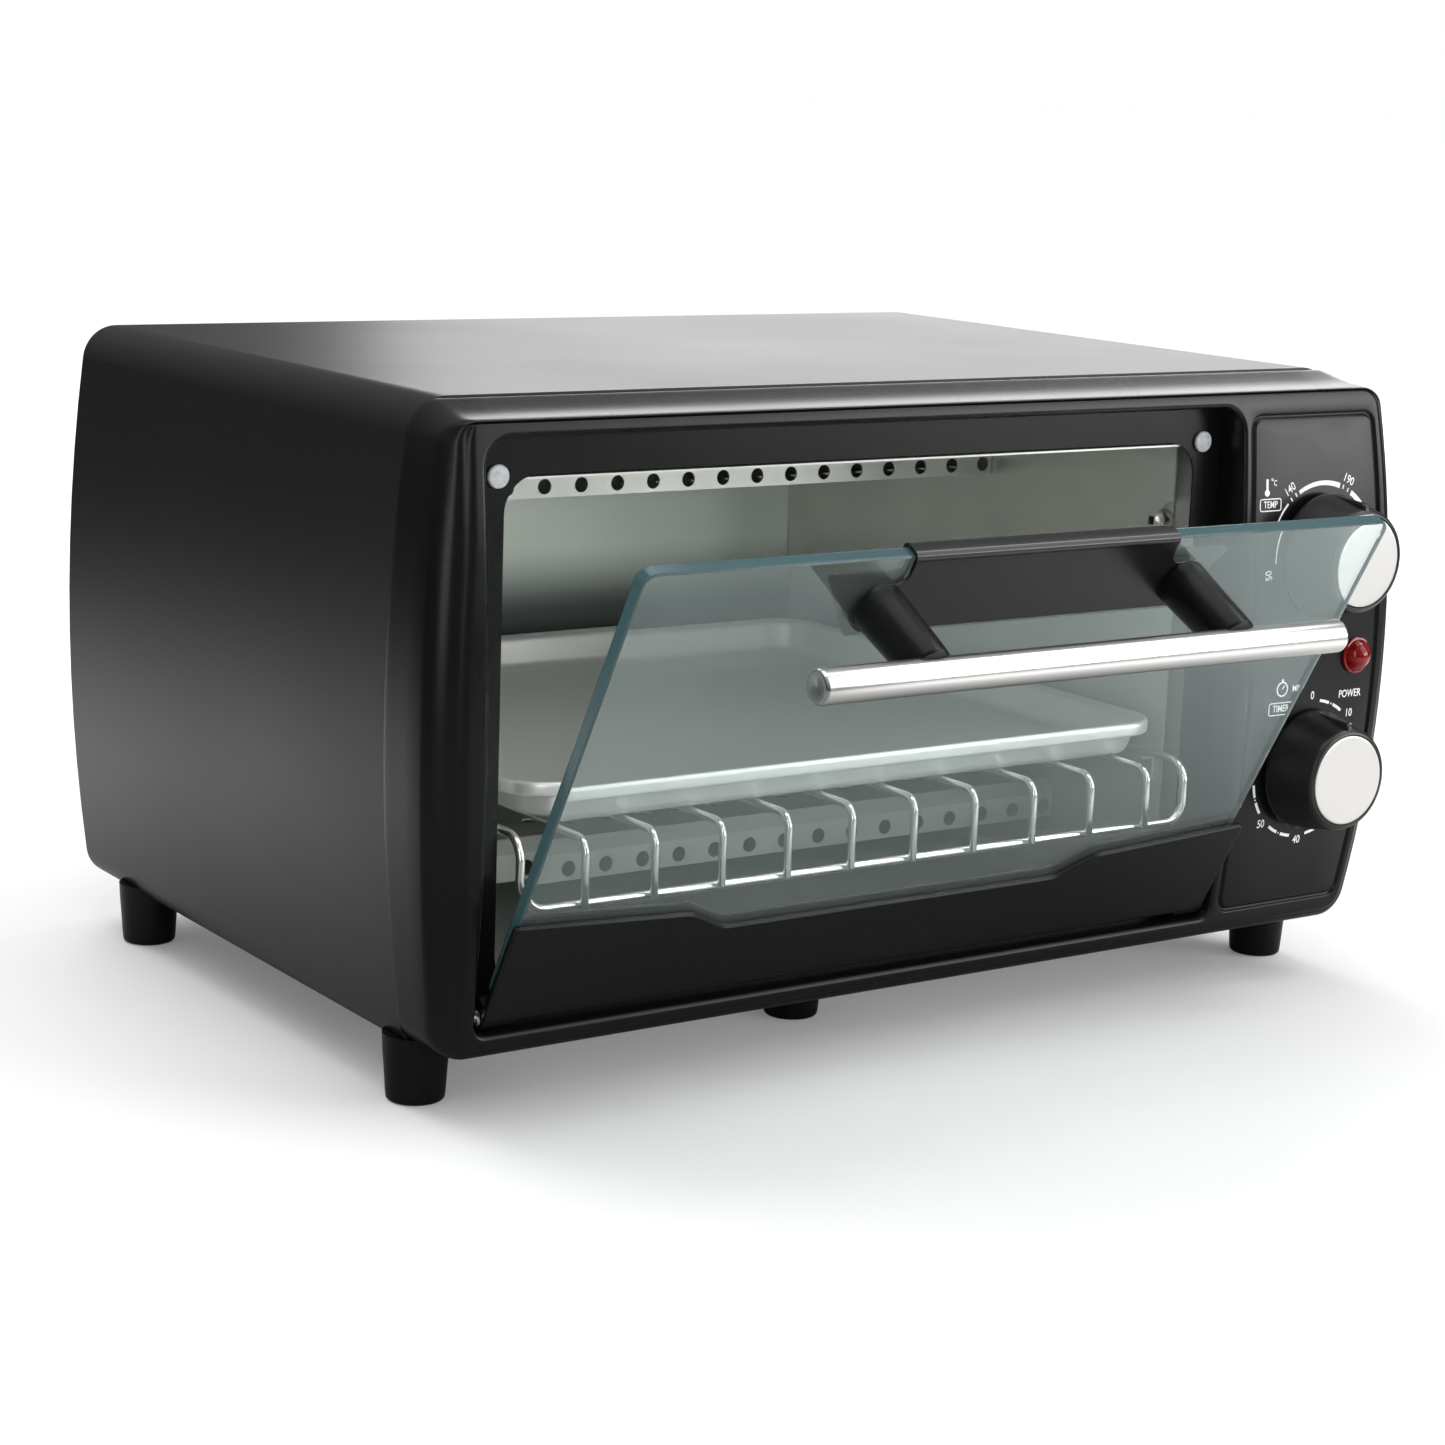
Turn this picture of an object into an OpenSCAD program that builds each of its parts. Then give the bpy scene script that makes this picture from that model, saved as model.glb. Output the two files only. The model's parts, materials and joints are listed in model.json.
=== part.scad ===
// Countertop toaster oven: a bowed steel casing behind a moulded front frame,
// a drop-down glass door that draws the wire rack out with it, two turning
// controls and an indicator lamp.
// Lengths are in millimetres. X runs to the right as seen from the front,
// Y runs to the back and Z is up. The door stands part open.

/* [Casing] */
// Width of the casing at its widest height
casing_w = 365; // [355:1:375]
// Height of the casing's flat top above the floor
casing_top = 206; // [202:1:212]
// Height of the casing's underside above the floor
casing_low = 16; // [14:1:20]
// Depth from the rim of the front frame to the rear edge of the casing
casing_depth = 251; // [247:1:262]
// How far each side bows outward at mid height
side_bow = 7; // [4:0.5:9]
// Radius of the long top corners
top_corner_r = 12; // [8:1:18]
// Radius of the long bottom corners
low_corner_r = 11; // [8:1:14]
// Thickness of the steel sheet
sheet = 0.8; // [0.6:0.1:1.2]

/* [Front frame] */
// How far the front frame stands out beyond the casing on each side
frame_flare = 2; // [0:0.5:3]
// Depth of the front frame from its rim to the seam with the casing
seam_y = 24; // [20:1:30]
// How far the front face bulges forward at mid height
face_bulge = 6; // [3:0.5:8]
// Wall thickness of the moulded front frame
frame_wall = 2.5; // [2:0.25:3]
// Width of the door opening
opening_w = 281; // [277:1:285]
// Height of the door opening
opening_h = 170; // [168:1:172]
// Corner radius of the door opening's top corners
opening_r = 8; // [6:1:12]

/* [Door] */
// Angle at which the door stands, from upright
door_angle = 28.6; // [10:0.2:45]
// Width of the glass pane
glass_w = 270; // [266:1:272]
// Height from the hinge axis to the top edge of the glass
glass_top = 159; // [150:1:160]
// Thickness of the glass pane
glass_t = 4.5; // [4:0.5:5]
// Height of the handle above the hinge axis, along the glass
handle_rise = 143.5; // [135:0.5:146]
// Distance from the hinge plane to the middle of the handle bar
handle_reach = 33; // [30:1:38]
// Length of the handle bar
bar_len = 189; // [170:1:200]
// Diameter of the handle bar
bar_d = 10; // [8:0.5:12]

/* [Controls] */
// Height of the temperature control's axis
temp_z = 148; // [146:1:150]
// Height of the timer control's axis
timer_z = 75; // [73:1:77]
// Radius of a knob at its base
knob_base_r = 20.4; // [18:0.2:22]
// Radius of a knob at its front
knob_front_r = 16.8; // [15:0.5:18]
// How far a knob stands out from the middle of the front face
knob_len = 18.8; // [15:0.5:22]

/* [Rack and tray] */
// Distance between neighbouring rack wires
wire_pitch = 23.7; // [22:0.1:25]
// Number of long rack wires between the two side wires
wire_count = 10; // [8:1:10]
// Diameter of the rack's wires
wire_d = 2.5; // [2:0.25:3]
// Height of the rack's top wires above the floor
rack_z = 82.5; // [82:0.5:86]
// Width of the baking tray over its rim
tray_w = 243.6; // [230:0.2:246]
// Depth of the baking tray over its rim
tray_d = 210; // [190:1:211]
// Height of the baking tray
tray_h = 12; // [10:1:20]

/* [Hidden] */

$fn = 48;
fine = 360;
eps = 0.05;
gap = 0.3;

half_w = casing_w / 2;
rear_y = casing_depth;
mid_z = (casing_top + casing_low) / 2;

// Front frame outline: a little wider, and a little shorter, than the casing.
frame_half_w = half_w + frame_flare;
frame_low = casing_low + 3.75;
frame_top = casing_top - 1.4;
face_mid = (frame_low + frame_top) / 2;
face_half = (frame_top - frame_low) / 2;
face_r = (face_half * face_half + face_bulge * face_bulge) / (2 * face_bulge);

// The door, the opening and the cavity share one vertical centre plane.
door_x = -25.6;
open_low = 26.7;
open_top = open_low + opening_h;
open_left = door_x - 0.4 - opening_w / 2;
open_right = door_x - 0.4 + opening_w / 2;
seat_y = 9;
recess_wall = 2;

// Cavity, measured on its inner faces.
cav_half_w = 128;
cav_left = door_x - cav_half_w;
cav_right = door_x + cav_half_w;
cav_low = 30;
cav_top = 183.6;
cav_front = 16.5;
cav_rear = 231;
liner = 0.6;
shield_x = 108;

// Heater guards and heating elements.
hole_pitch = 13.75;
hole_r = 2.5;
hole_count = 19;
guard_t = 0.6;
low_guard_y = [70, 150];
low_guard_z = [49.4, 62];
up_guard_y = [110, 162];
up_guard_z = 162;
element_r = 3.25;
low_element = [110, 54.5];
up_element = [136, 173];

// Hinge and door.
hinge_y = 4.5;
hinge_z = 31;
pin_r = 2;
knuckle_r = 3.8;
run_gap = 0.06;
glass_front = -1.5;
glass_back = glass_front + glass_t;
trim_half_w = 137.7;
trim_t = 2.4;
post_x = 55.5;

// Controls.
knob_x = 150;
lamp_pos = [168.5, 112.5];
knob_back = -face_bulge - 0.4;
knob_front = -face_bulge - knob_len;
shaft_r = 3;
bracket_y = 9;

// Rack and tray.
rack_front_y = 0;
rack_rear_y = 208;
rack_half_w = 125.2;
rack_low_z = 63;
rack_bend_r = 6;
rail_z = rack_z - wire_d / 2 - 0.2;
tray_y = 8;
tray_z = rack_z + wire_d / 2 + 0.2;
tray_corner_r = 16;

// Feet.
foot_x = 168;
foot_y = [30.6, 218.6];
foot_centre_pos = [-21.5, 47];
foot_top_r = 10;
foot_low_r = 8.75;
screw_in = 4;

// The origin lies on the floor under the middle of the whole object.
bar_front = hinge_y - handle_rise * sin(door_angle)
    - handle_reach * cos(door_angle) - bar_d / 2;
front_y = -(bar_front + rear_y) / 2;

// ---------------------------------------------------------------- helpers

module place() {
    translate([0, front_y, 0]) children();
}

// Extrudes an outline drawn in X and Z from y0 back to y1.
module along_y(y0, y1) {
    translate([0, y1, 0]) rotate([90, 0, 0]) linear_extrude(height = y1 - y0) children();
}

// Extrudes an outline drawn in Y and Z from x0 to x1.
module along_x(x0, x1) {
    translate([x0, 0, 0]) rotate([90, 0, 90]) linear_extrude(height = x1 - x0) children();
}

module box(low, high) {
    translate(low) cube(high - low);
}

module rod_x(x0, x1, y, z, r) {
    translate([x0, y, z]) rotate([0, 90, 0]) cylinder(r = r, h = x1 - x0);
}

module rod_y(y0, y1, x, z, r) {
    translate([x, y1, z]) rotate([90, 0, 0]) cylinder(r = r, h = y1 - y0);
}

module rod_z(z0, z1, x, y, r) {
    translate([x, y, z0]) cylinder(r = r, h = z1 - z0);
}

module rounded_rect(x0, z0, x1, z1, r) {
    translate([x0 + r, z0]) square([x1 - x0 - 2 * r, z1 - z0]);
    translate([x0, z0 + r]) square([x1 - x0, z1 - z0 - 2 * r]);
    for (x = [x0 + r, x1 - r], z = [z0 + r, z1 - r]) translate([x, z]) circle(r);
}

// Outline with flat top and bottom, bowed sides and round corners.
module bowed_outline(w, bow, z0, z1, r_top, r_low) {
    mid = (z0 + z1) / 2;
    h = (z1 - z0) / 2;
    big_r = (h * h + bow * bow) / (2 * bow);
    cx = w - big_r;
    top_a = asin((z1 - r_top - mid) / (big_r - r_top));
    low_a = asin((mid - z0 - r_low) / (big_r - r_low));
    top_x = cx + (big_r - r_top) * cos(top_a);
    low_x = cx + (big_r - r_low) * cos(low_a);
    band_low = mid - big_r * sin(low_a);
    band_top = mid + big_r * sin(top_a);
    intersection() {
        translate([cx, mid]) circle(big_r, $fn = 2 * fine);
        translate([-cx, mid]) circle(big_r, $fn = 2 * fine);
        translate([-w - 1, band_low]) square([2 * w + 2, band_top - band_low]);
    }
    translate([-top_x, mid]) square([2 * top_x, z1 - mid]);
    translate([-low_x, z0]) square([2 * low_x, mid - z0]);
    for (s = [-1, 1]) {
        translate([s * top_x, z1 - r_top]) circle(r_top);
        translate([s * low_x, z0 + r_low]) circle(r_low);
    }
}

module casing_outline(inset = 0) {
    bowed_outline(half_w - inset, side_bow, casing_low + inset, casing_top - inset,
        max(top_corner_r - inset, 2), max(low_corner_r - inset, 2));
}

module frame_outline(inset = 0) {
    bowed_outline(frame_half_w - inset, side_bow, frame_low + inset, frame_top - inset,
        top_corner_r - 2 - inset, low_corner_r - 1 - inset);
}

// Inside of the front frame: the same bow in short flats, with cut corners.
module frame_hollow(inset) {
    w = frame_half_w - inset;
    z0 = frame_low + inset;
    z1 = frame_top - inset;
    cut = 4;
    half = (z1 - z0) / 2 - cut;
    mid = (z0 + z1) / 2;
    bow = side_bow * half * half / ((half + cut) * (half + cut));
    right_side = [for (t = [-1:0.25:1]) [w - bow * t * t, mid + t * half]];
    left_side = [for (t = [1:-0.25:-1]) [bow * t * t - w, mid + t * half]];
    polygon(concat(
        [[w - side_bow - cut, z0]], right_side, [[w - side_bow - cut, z1]],
        [[side_bow + cut - w, z1]], left_side, [[side_bow + cut - w, z0]]
    ));
}

// The solid behind the bulged front face, pushed back by inset.
module behind_face(inset = 0) {
    translate([-half_w - 20, face_r - face_bulge, face_mid]) rotate([0, 90, 0])
        cylinder(r = face_r - inset, h = casing_w + 40, $fn = 2 * fine);
}

module pan_screw_y(x, y, z, head_r = 3.4, len = 7) {
    rod_y(y, y + 2, x, z, head_r);
    rod_y(y - len, y, x, z, head_r * 0.5);
}

// --------------------------------------------------------- casing and frame

rear_plate_y = rear_y - 3;
rear_screw_pos = [
    for (x = [-150, -50, 50, 150]) [x, casing_top - 8],
    for (x = [-150, -50, 50, 150]) [x, casing_low + 8]
];
louvre_z = [for (i = [0:6]) 110 + 9 * i];
gland_pos = [140, 44];
gland_r = 5.9;

module casing() {
    color([0.055, 0.055, 0.06]) difference() {
        union() {
            difference() {
                along_y(seam_y + 0.4, rear_y) casing_outline();
                along_y(seam_y - 1, rear_y + 1) casing_outline(sheet);
            }
            difference() {
                along_y(rear_plate_y - sheet, rear_plate_y) casing_outline(sheet - eps);
                along_y(rear_plate_y - 5, rear_plate_y + 5) casing_outline(13);
            }
        }
        box([-138, seam_y - 1, casing_low - 1], [138, rear_plate_y - 6, casing_low + sheet + 1]);
        for (p = rear_screw_pos) rod_y(rear_plate_y - 5, rear_plate_y + 5, p[0], p[1], 1.75);
        for (i = [0:4], j = [0:1])
            box([half_w - 20, 70 + 28 * i, 60 + 60 * j], [half_w + 5, 90 + 28 * i, 63 + 60 * j]);
        for (x = [screw_in - foot_x, foot_x - screw_in], y = foot_y)
            rod_z(casing_low - 2, casing_low + 4, x, y, 2.1);
    }
}

module rear_panel() {
    color([0.06, 0.06, 0.065]) difference() {
        along_y(rear_plate_y + eps, rear_plate_y + sheet) casing_outline(sheet + gap);
        for (p = rear_screw_pos) rod_y(rear_plate_y - 1, rear_y, p[0], p[1], 1.75);
        for (z = louvre_z, x = [-120, -45, 30])
            box([x, rear_plate_y - 1, z], [x + 60, rear_y, z + 3]);
        for (i = [0:4])
            box([125, rear_plate_y - 1, 110 + 12 * i], [160, rear_y, 113 + 12 * i]);
        rod_y(rear_plate_y - 1, rear_y, gland_pos[0], gland_pos[1], gland_r + 0.1);
    }
}

module base_plate() {
    low = casing_low + sheet + 0.05;
    color([0.5, 0.51, 0.52]) difference() {
        box([-165, seam_y + 1, low], [165, rear_plate_y - sheet - 0.5, low + sheet]);
        for (x = [screw_in - foot_x, foot_x - screw_in], y = foot_y) rod_z(low - 1, low + 3, x, y, 2.1);
        rod_z(low - 1, low + 3, foot_centre_pos[0], foot_centre_pos[1], 2.1);
        for (i = [0:5]) box([-100 + 30 * i, 180, low - 1], [-82 + 30 * i, 183, low + 3]);
    }
}

module opening_outline(grow = 0) {
    x0 = open_left - grow;
    x1 = open_right + grow;
    z0 = open_low - grow;
    z1 = open_top + grow;
    r = opening_r + grow;
    r_low = 4 + grow;
    translate([x0, z0 + r_low]) square([x1 - x0, z1 - r - z0 - r_low]);
    translate([x0 + r, z1 - 2 * r]) square([x1 - x0 - 2 * r, 2 * r]);
    translate([x0 + r_low, z0]) square([x1 - x0 - 2 * r_low, 2 * r_low]);
    for (x = [x0 + r, x1 - r]) translate([x, z1 - r]) circle(r);
    for (x = [x0 + r_low, x1 - r_low]) translate([x, z0 + r_low]) circle(r_low);
}

// Shallow groove that borders the control panel.
module panel_outline(inset) {
    intersection() {
        rounded_rect(117.5 + inset, 28.5 + inset, 200, 193.5 - inset, 6 - inset / 2);
        frame_outline(6.5 + inset);
    }
}

bracket_screws = [for (x = [128, 170], z = [46, 176]) [x, z]];

module front_frame() {
    color([0.05, 0.05, 0.055]) difference() {
        intersection() {
            along_y(-face_bulge - 1, seam_y) frame_outline();
            behind_face();
        }
        difference() {
            intersection() {
                along_y(-face_bulge - 1, seam_y + 1) frame_hollow(frame_wall);
                behind_face(frame_wall);
            }
            along_y(-face_bulge - 1, seat_y - 0.1) opening_outline(recess_wall);
            for (p = bracket_screws) rod_y(-face_bulge - 1, bracket_y - eps, p[0], p[1], 3.5);
        }
        for (p = bracket_screws) rod_y(4, bracket_y + 1, p[0], p[1], 1.65);
        along_y(-face_bulge - 1, seat_y + 1) opening_outline();
        difference() {
            along_y(-face_bulge - 1, seat_y) difference() {
                panel_outline(0);
                panel_outline(2);
            }
            behind_face(0.9);
        }
        for (z = [temp_z, timer_z]) rod_y(-face_bulge - 1, seat_y, knob_x, z, 5);
        rod_y(-face_bulge - 1, seat_y, lamp_pos[0], lamp_pos[1], 5.2);
        for (x = [open_left - recess_wall - 1, open_right - 1])
            rod_x(x, x + recess_wall + 2, hinge_y, hinge_z, 2.8);
    }
}

bumper_x = 131.7;
bumper_z = 185;

module inner_frame() {
    color([0.04, 0.04, 0.045]) difference() {
        intersection() {
            along_y(seat_y, seat_y + sheet) frame_outline(frame_wall + gap);
            box([-half_w - 10, 0, 0], [open_right + 3, 20, 220]);
        }
        along_y(seat_y - 1, seat_y + 3)
            rounded_rect(door_x - 129.2, 36, door_x + 129.2, 185, 11);
        for (s = [-1, 1]) {
            rod_y(seat_y - 1, seat_y + 3, door_x + s * bumper_x, bumper_z, 1.8);
            box([door_x + s * 144.5 - 2.8, seat_y - 1, hinge_z - 8],
                [door_x + s * 144.5 + 2.8, seat_y + 3, hinge_z + 8]);
        }
    }
}

// ------------------------------------------------------------------ cavity

module element_holes() {
    for (e = [low_element, up_element])
        rod_x(cav_left - 5, cav_right + 15, e[0], e[1], 4.6);
}

cav_screw_x = 129;
cav_screw_z = 157;

module side_wall(x0) {
    tab_x = x0 < door_x ? x0 - 4.4 : x0 + liner - eps;
    color([0.66, 0.67, 0.67]) difference() {
        union() {
            box([x0, cav_front, cav_low + gap], [x0 + liner, cav_rear - gap, cav_top - gap]);
            box([tab_x, 21.5, cav_screw_z - 7], [tab_x + 4.4 + eps, 22.3, cav_screw_z + 7]);
        }
        element_holes();
        rod_x(x0 - 1, x0 + 2, cav_front - 1, cav_screw_z, 7.6);
        for (s = [-1, 1]) rod_y(cav_front, 28, door_x + s * cav_screw_x, cav_screw_z, 1.7);
    }
}

module cavity_left_wall() {
    side_wall(cav_left - liner);
}

module cavity_right_wall() {
    side_wall(cav_right);
}

ceiling_screw = [80, 35];

module cavity_ceiling() {
    color([0.66, 0.67, 0.67]) difference() {
        box([cav_left - liner, seat_y + sheet + eps, cav_top],
            [cav_right + liner, cav_rear - gap, cav_top + liner]);
        rod_z(cav_top - 1, cav_top + 3, ceiling_screw[0], ceiling_screw[1], 1.8);
    }
}

module cavity_floor() {
    color([0.66, 0.67, 0.67])
        box([cav_left - liner, seat_y + sheet + eps, cav_low - liner],
            [cav_right + liner, cav_rear - gap, cav_low]);
}

module cavity_rear_wall() {
    color([0.66, 0.67, 0.67])
        box([cav_left - 4, cav_rear, cav_low - 4], [cav_right + 4, cav_rear + liner, cav_top + 4]);
}

module hole_row_y(y0, y1, z) {
    for (i = [0:hole_count - 1])
        rod_y(y0, y1, door_x + (i - (hole_count - 1) / 2) * hole_pitch, z, hole_r);
}

module hole_row_z(z0, z1, y) {
    for (i = [0:hole_count - 1])
        rod_z(z0, z1, door_x + (i - (hole_count - 1) / 2) * hole_pitch, y, hole_r);
}

// Section of the lower guard, a sheet folded down at the front and the back.
module low_guard_section(t) {
    y0 = low_guard_y[0] + t;
    y1 = low_guard_y[1] - t;
    top = low_guard_z[1] - t;
    low = low_guard_z[0] - (t > 0 ? 1 : 0);
    polygon([[y0, low], [y0, top - 4], [y0 + 4, top], [y1 - 4, top], [y1, top - 4], [y1, low]]);
}

module lower_heater_guard() {
    color([0.6, 0.61, 0.61]) difference() {
        along_x(cav_left + gap, cav_right - gap) difference() {
            low_guard_section(0);
            low_guard_section(guard_t);
        }
        hole_row_y(low_guard_y[0] - 1, low_guard_y[0] + 2, 53.2);
        hole_row_y(low_guard_y[1] - 2, low_guard_y[1] + 1, 53.2);
        for (y = [91.6, 128.4]) hole_row_z(low_guard_z[1] - 2, low_guard_z[1] + 1, y);
    }
}

module upper_heater_guard() {
    color([0.6, 0.61, 0.61]) difference() {
        box([cav_left + gap, up_guard_y[0], up_guard_z],
            [cav_right - gap, up_guard_y[1], cav_top - eps]);
        box([cav_left - 1, up_guard_y[0] + guard_t, up_guard_z + guard_t],
            [cav_right + 1, up_guard_y[1] - guard_t, cav_top + 1]);
        hole_row_y(up_guard_y[0] - 1, up_guard_y[0] + 2, 165.6);
        hole_row_y(up_guard_y[1] - 2, up_guard_y[1] + 1, 165.6);
        for (y = [125, 147]) hole_row_z(up_guard_z - 1, up_guard_z + 2, y);
    }
}

module heating_element(e) {
    color([0.35, 0.34, 0.33]) {
        rod_x(cav_left - 9, cav_right + 13, e[0], e[1], element_r);
        rod_x(cav_left - 15, cav_left - 9, e[0], e[1], 1.4);
        rod_x(cav_right + 13, cav_right + 19, e[0], e[1], 1.4);
    }
}

module upper_heating_element() {
    heating_element(up_element);
}

module lower_heating_element() {
    heating_element(low_element);
}

module element_bushings() {
    color([0.9, 0.88, 0.83]) for (e = [low_element, up_element], s = [-1, 1]) {
        wall = door_x + s * (cav_half_w + liner);
        difference() {
            union() {
                rod_x(wall - (s > 0 ? 3 : 3), wall + 3, e[0], e[1], 4.5);
                rod_x(s > 0 ? wall + 0.1 : wall - 3, s > 0 ? wall + 3 : wall - 0.1, e[0], e[1], 6.5);
            }
            rod_x(wall - 5, wall + 5, e[0], e[1], element_r + run_gap);
        }
    }
}

module rack_rails() {
    color([0.62, 0.63, 0.63]) for (s = [-1, 1]) {
        wall = door_x + s * (cav_half_w - eps);
        inner = door_x + s * (cav_half_w - 5.5);
        face = door_x + s * (cav_half_w - 1);
        box([min(wall, inner), 20, rail_z - 1], [max(wall, inner), cav_rear - 1, rail_z]);
        box([min(wall, face), 20, rail_z - 9], [max(wall, face), cav_rear - 1, rail_z - 1 + eps]);
    }
}

module heat_shield() {
    color([0.6, 0.61, 0.62]) difference() {
        box([shield_x, seat_y + 5, 24], [shield_x + liner, rear_plate_y - sheet - 1, 200]);
        element_holes();
        for (e = [low_element, up_element]) rod_x(shield_x - 1, shield_x + 2, e[0], e[1], 7.5);
    }
}

module door_bumpers() {
    color([0.78, 0.79, 0.8]) for (s = [-1, 1]) {
        x = door_x + s * bumper_x;
        rod_y(hinge_y + glass_back + 0.1, seat_y - eps, x, bumper_z, 3.4);
        rod_y(seat_y - 2 * eps, seat_y + sheet + 0.5, x, bumper_z, 1.7);
        rod_y(seat_y + sheet + 0.3, seat_y + sheet + 2, x, bumper_z, 2.3);
    }
}

// ---------------------------------------------------------------- controls

module control_bracket() {
    color([0.62, 0.63, 0.64]) difference() {
        box([124, bracket_y, 42], [174, bracket_y + 1.2, 180]);
        for (z = [temp_z, timer_z]) rod_y(bracket_y - 1, bracket_y + 3, knob_x, z, 4.2);
        rod_y(bracket_y - 1, bracket_y + 3, lamp_pos[0], lamp_pos[1], 5.2);
        for (p = bracket_screws) rod_y(bracket_y - 1, bracket_y + 3, p[0], p[1], 1.75);
    }
}

module thermostat() {
    color([0.88, 0.86, 0.8]) difference() {
        union() {
            box([134, bracket_y + 1.3, temp_z - 17], [166, bracket_y + 19, temp_z + 17]);
            rod_y(bracket_y - 3, bracket_y + 2, knob_x, temp_z, 4.1);
            for (x = [139, 161]) box([x - 3, bracket_y + 18.9, temp_z - 8],
                [x + 3, bracket_y + 28, temp_z - 7.2]);
        }
        rod_y(bracket_y - 4, bracket_y + 12, knob_x, temp_z, shaft_r + run_gap);
    }
}

module timer() {
    color([0.75, 0.75, 0.76]) difference() {
        union() {
            rod_y(bracket_y + 1.3, bracket_y + 26, knob_x, timer_z, 22);
            rod_y(bracket_y - 3, bracket_y + 2, knob_x, timer_z, 4.1);
            rod_y(bracket_y + 25.9, bracket_y + 34, knob_x, timer_z, 2);
            for (x = [-12, 12]) box([knob_x + x - 3, bracket_y + 25.9, timer_z - 16.4],
                [knob_x + x + 3, bracket_y + 35, timer_z - 15.6]);
        }
        rod_y(bracket_y - 4, bracket_y + 12, knob_x, timer_z, shaft_r + run_gap);
    }
}

module timer_bell() {
    color([0.8, 0.8, 0.8]) translate([knob_x, bracket_y + 37, timer_z]) rotate([90, 0, 0])
        rotate_extrude($fn = 96) difference() {
            union() {
                square([13, 6.5]);
                translate([0, 0]) square([15, 4.5]);
            }
            translate([-1, 1]) square([15, 10]);
        }
}

module lens_dome(r, h) {
    ball_r = (r * r + h * h) / (2 * h);
    intersection() {
        translate([0, ball_r - h, 0]) sphere(ball_r, $fn = 96);
        box([-r - 1, -h - 1, -r - 1], [r + 1, 0, r + 1]);
    }
}

module indicator_lens() {
    color([0.7, 0.05, 0.04]) translate([lamp_pos[0], -face_bulge - 0.1, lamp_pos[1]]) {
        lens_dome(6.2, 5);
        difference() {
            rod_y(-eps, 18, 0, 0, 5);
            rod_y(3, 19, 0, 0, 3.6);
        }
    }
}

module indicator_lamp() {
    color([0.95, 0.75, 0.6]) {
        rod_y(-face_bulge + 4, bracket_y + 12, lamp_pos[0], lamp_pos[1], 3.5);
        rod_y(bracket_y + 11.9, bracket_y + 18, lamp_pos[0], lamp_pos[1], 1.5);
    }
}

module control_screws() {
    color([0.75, 0.75, 0.76]) for (p = bracket_screws)
        pan_screw_y(p[0], bracket_y + 1.25, p[1], 3.2, 4);
}

module knob(z) {
    axis_len = knob_back - knob_front;
    color([0.04, 0.04, 0.045]) translate([knob_x, knob_back, z]) rotate([90, 0, 0]) difference() {
        union() {
            cylinder(r1 = knob_base_r, r2 = knob_front_r, h = axis_len - 1, $fn = 96);
            translate([0, 0, axis_len - 1 - eps])
                cylinder(r1 = knob_front_r, r2 = knob_front_r - 1, h = 1 + eps, $fn = 96);
            translate([-1.2, 0, 2]) cube([2.4, knob_front_r + 2.2, axis_len - 3]);
        }
        translate([0, 0, axis_len - 0.8]) cylinder(r = 15.1, h = 2, $fn = 96);
        translate([0, 0, -1]) cylinder(r = shaft_r + 0.02, h = axis_len - 3);
        difference() {
            translate([0, 0, -1]) cylinder(r = knob_front_r - 2.5, h = axis_len - 3, $fn = 96);
            translate([0, 0, -2]) cylinder(r = 6, h = axis_len);
        }
    }
}

module knob_cap(z) {
    color([0.85, 0.85, 0.86]) translate([knob_x, knob_front + 0.75, z]) rotate([90, 0, 0])
        cylinder(r = 15, h = 1.1, $fn = 96);
}

module shaft(z) {
    color([0.8, 0.8, 0.8]) rod_y(knob_front + 4.2, bracket_y + 11.5, knob_x, z, shaft_r);
}

module temp_knob() {
    knob(temp_z);
}

module temp_knob_cap() {
    knob_cap(temp_z);
}

module temp_shaft() {
    shaft(temp_z);
}

module timer_knob() {
    knob(timer_z);
}

module timer_knob_cap() {
    knob_cap(timer_z);
}

module timer_shaft() {
    shaft(timer_z);
}

// ------------------------------------------------------------ hinge and rear

module hinge_pins() {
    color([0.8, 0.8, 0.78]) for (s = [-1, 1]) {
        outer = door_x + s * 147.5;
        inner = door_x + s * 128;
        rod_x(min(outer, inner), max(outer, inner), hinge_y, hinge_z, pin_r);
    }
}

module hinge_washers() {
    color([0.75, 0.75, 0.75]) for (s = [-1, 1]) {
        x = door_x + s * 138.4;
        difference() {
            rod_x(x - 0.4, x + 0.4, hinge_y, hinge_z, 3);
            rod_x(x - 1, x + 1, hinge_y, hinge_z, pin_r + eps);
        }
    }
}

module hinge_brackets() {
    color([0.6, 0.61, 0.62]) for (s = [-1, 1]) {
        x = door_x + s * 144.5;
        difference() {
            union() {
                box([x - 1, hinge_y - 2.6, hinge_z - 4], [x + 1, seat_y + 12, hinge_z + 6]);
                box([min(x - 1, x + s * 4), seat_y + 11, hinge_z - 4],
                    [max(x + 1, x + s * 4), seat_y + 12, hinge_z + 6]);
            }
            rod_x(x - 3, x + 3, hinge_y, hinge_z, pin_r + eps);
        }
    }
}

module cord_gland() {
    color([0.05, 0.05, 0.055]) difference() {
        union() {
            rod_y(rear_plate_y - 9, rear_plate_y + 1.5, gland_pos[0], gland_pos[1], gland_r);
            rod_y(rear_plate_y + sheet + eps, rear_y - 0.2, gland_pos[0], gland_pos[1], 8.5);
        }
        rod_y(rear_plate_y - 10, rear_y + 1, gland_pos[0], gland_pos[1], 3.6);
    }
}

module terminal_block() {
    low = casing_low + 2 * sheet + 0.1;
    color([0.9, 0.9, 0.88]) difference() {
        box([124, 196, low], [156, 214, low + 14]);
        for (i = [0:2]) {
            rod_z(low + 8, low + 15, 130 + 10 * i, 205, 2);
            rod_y(195, 215, 130 + 10 * i, low + 5, 1.6);
        }
    }
}

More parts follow.
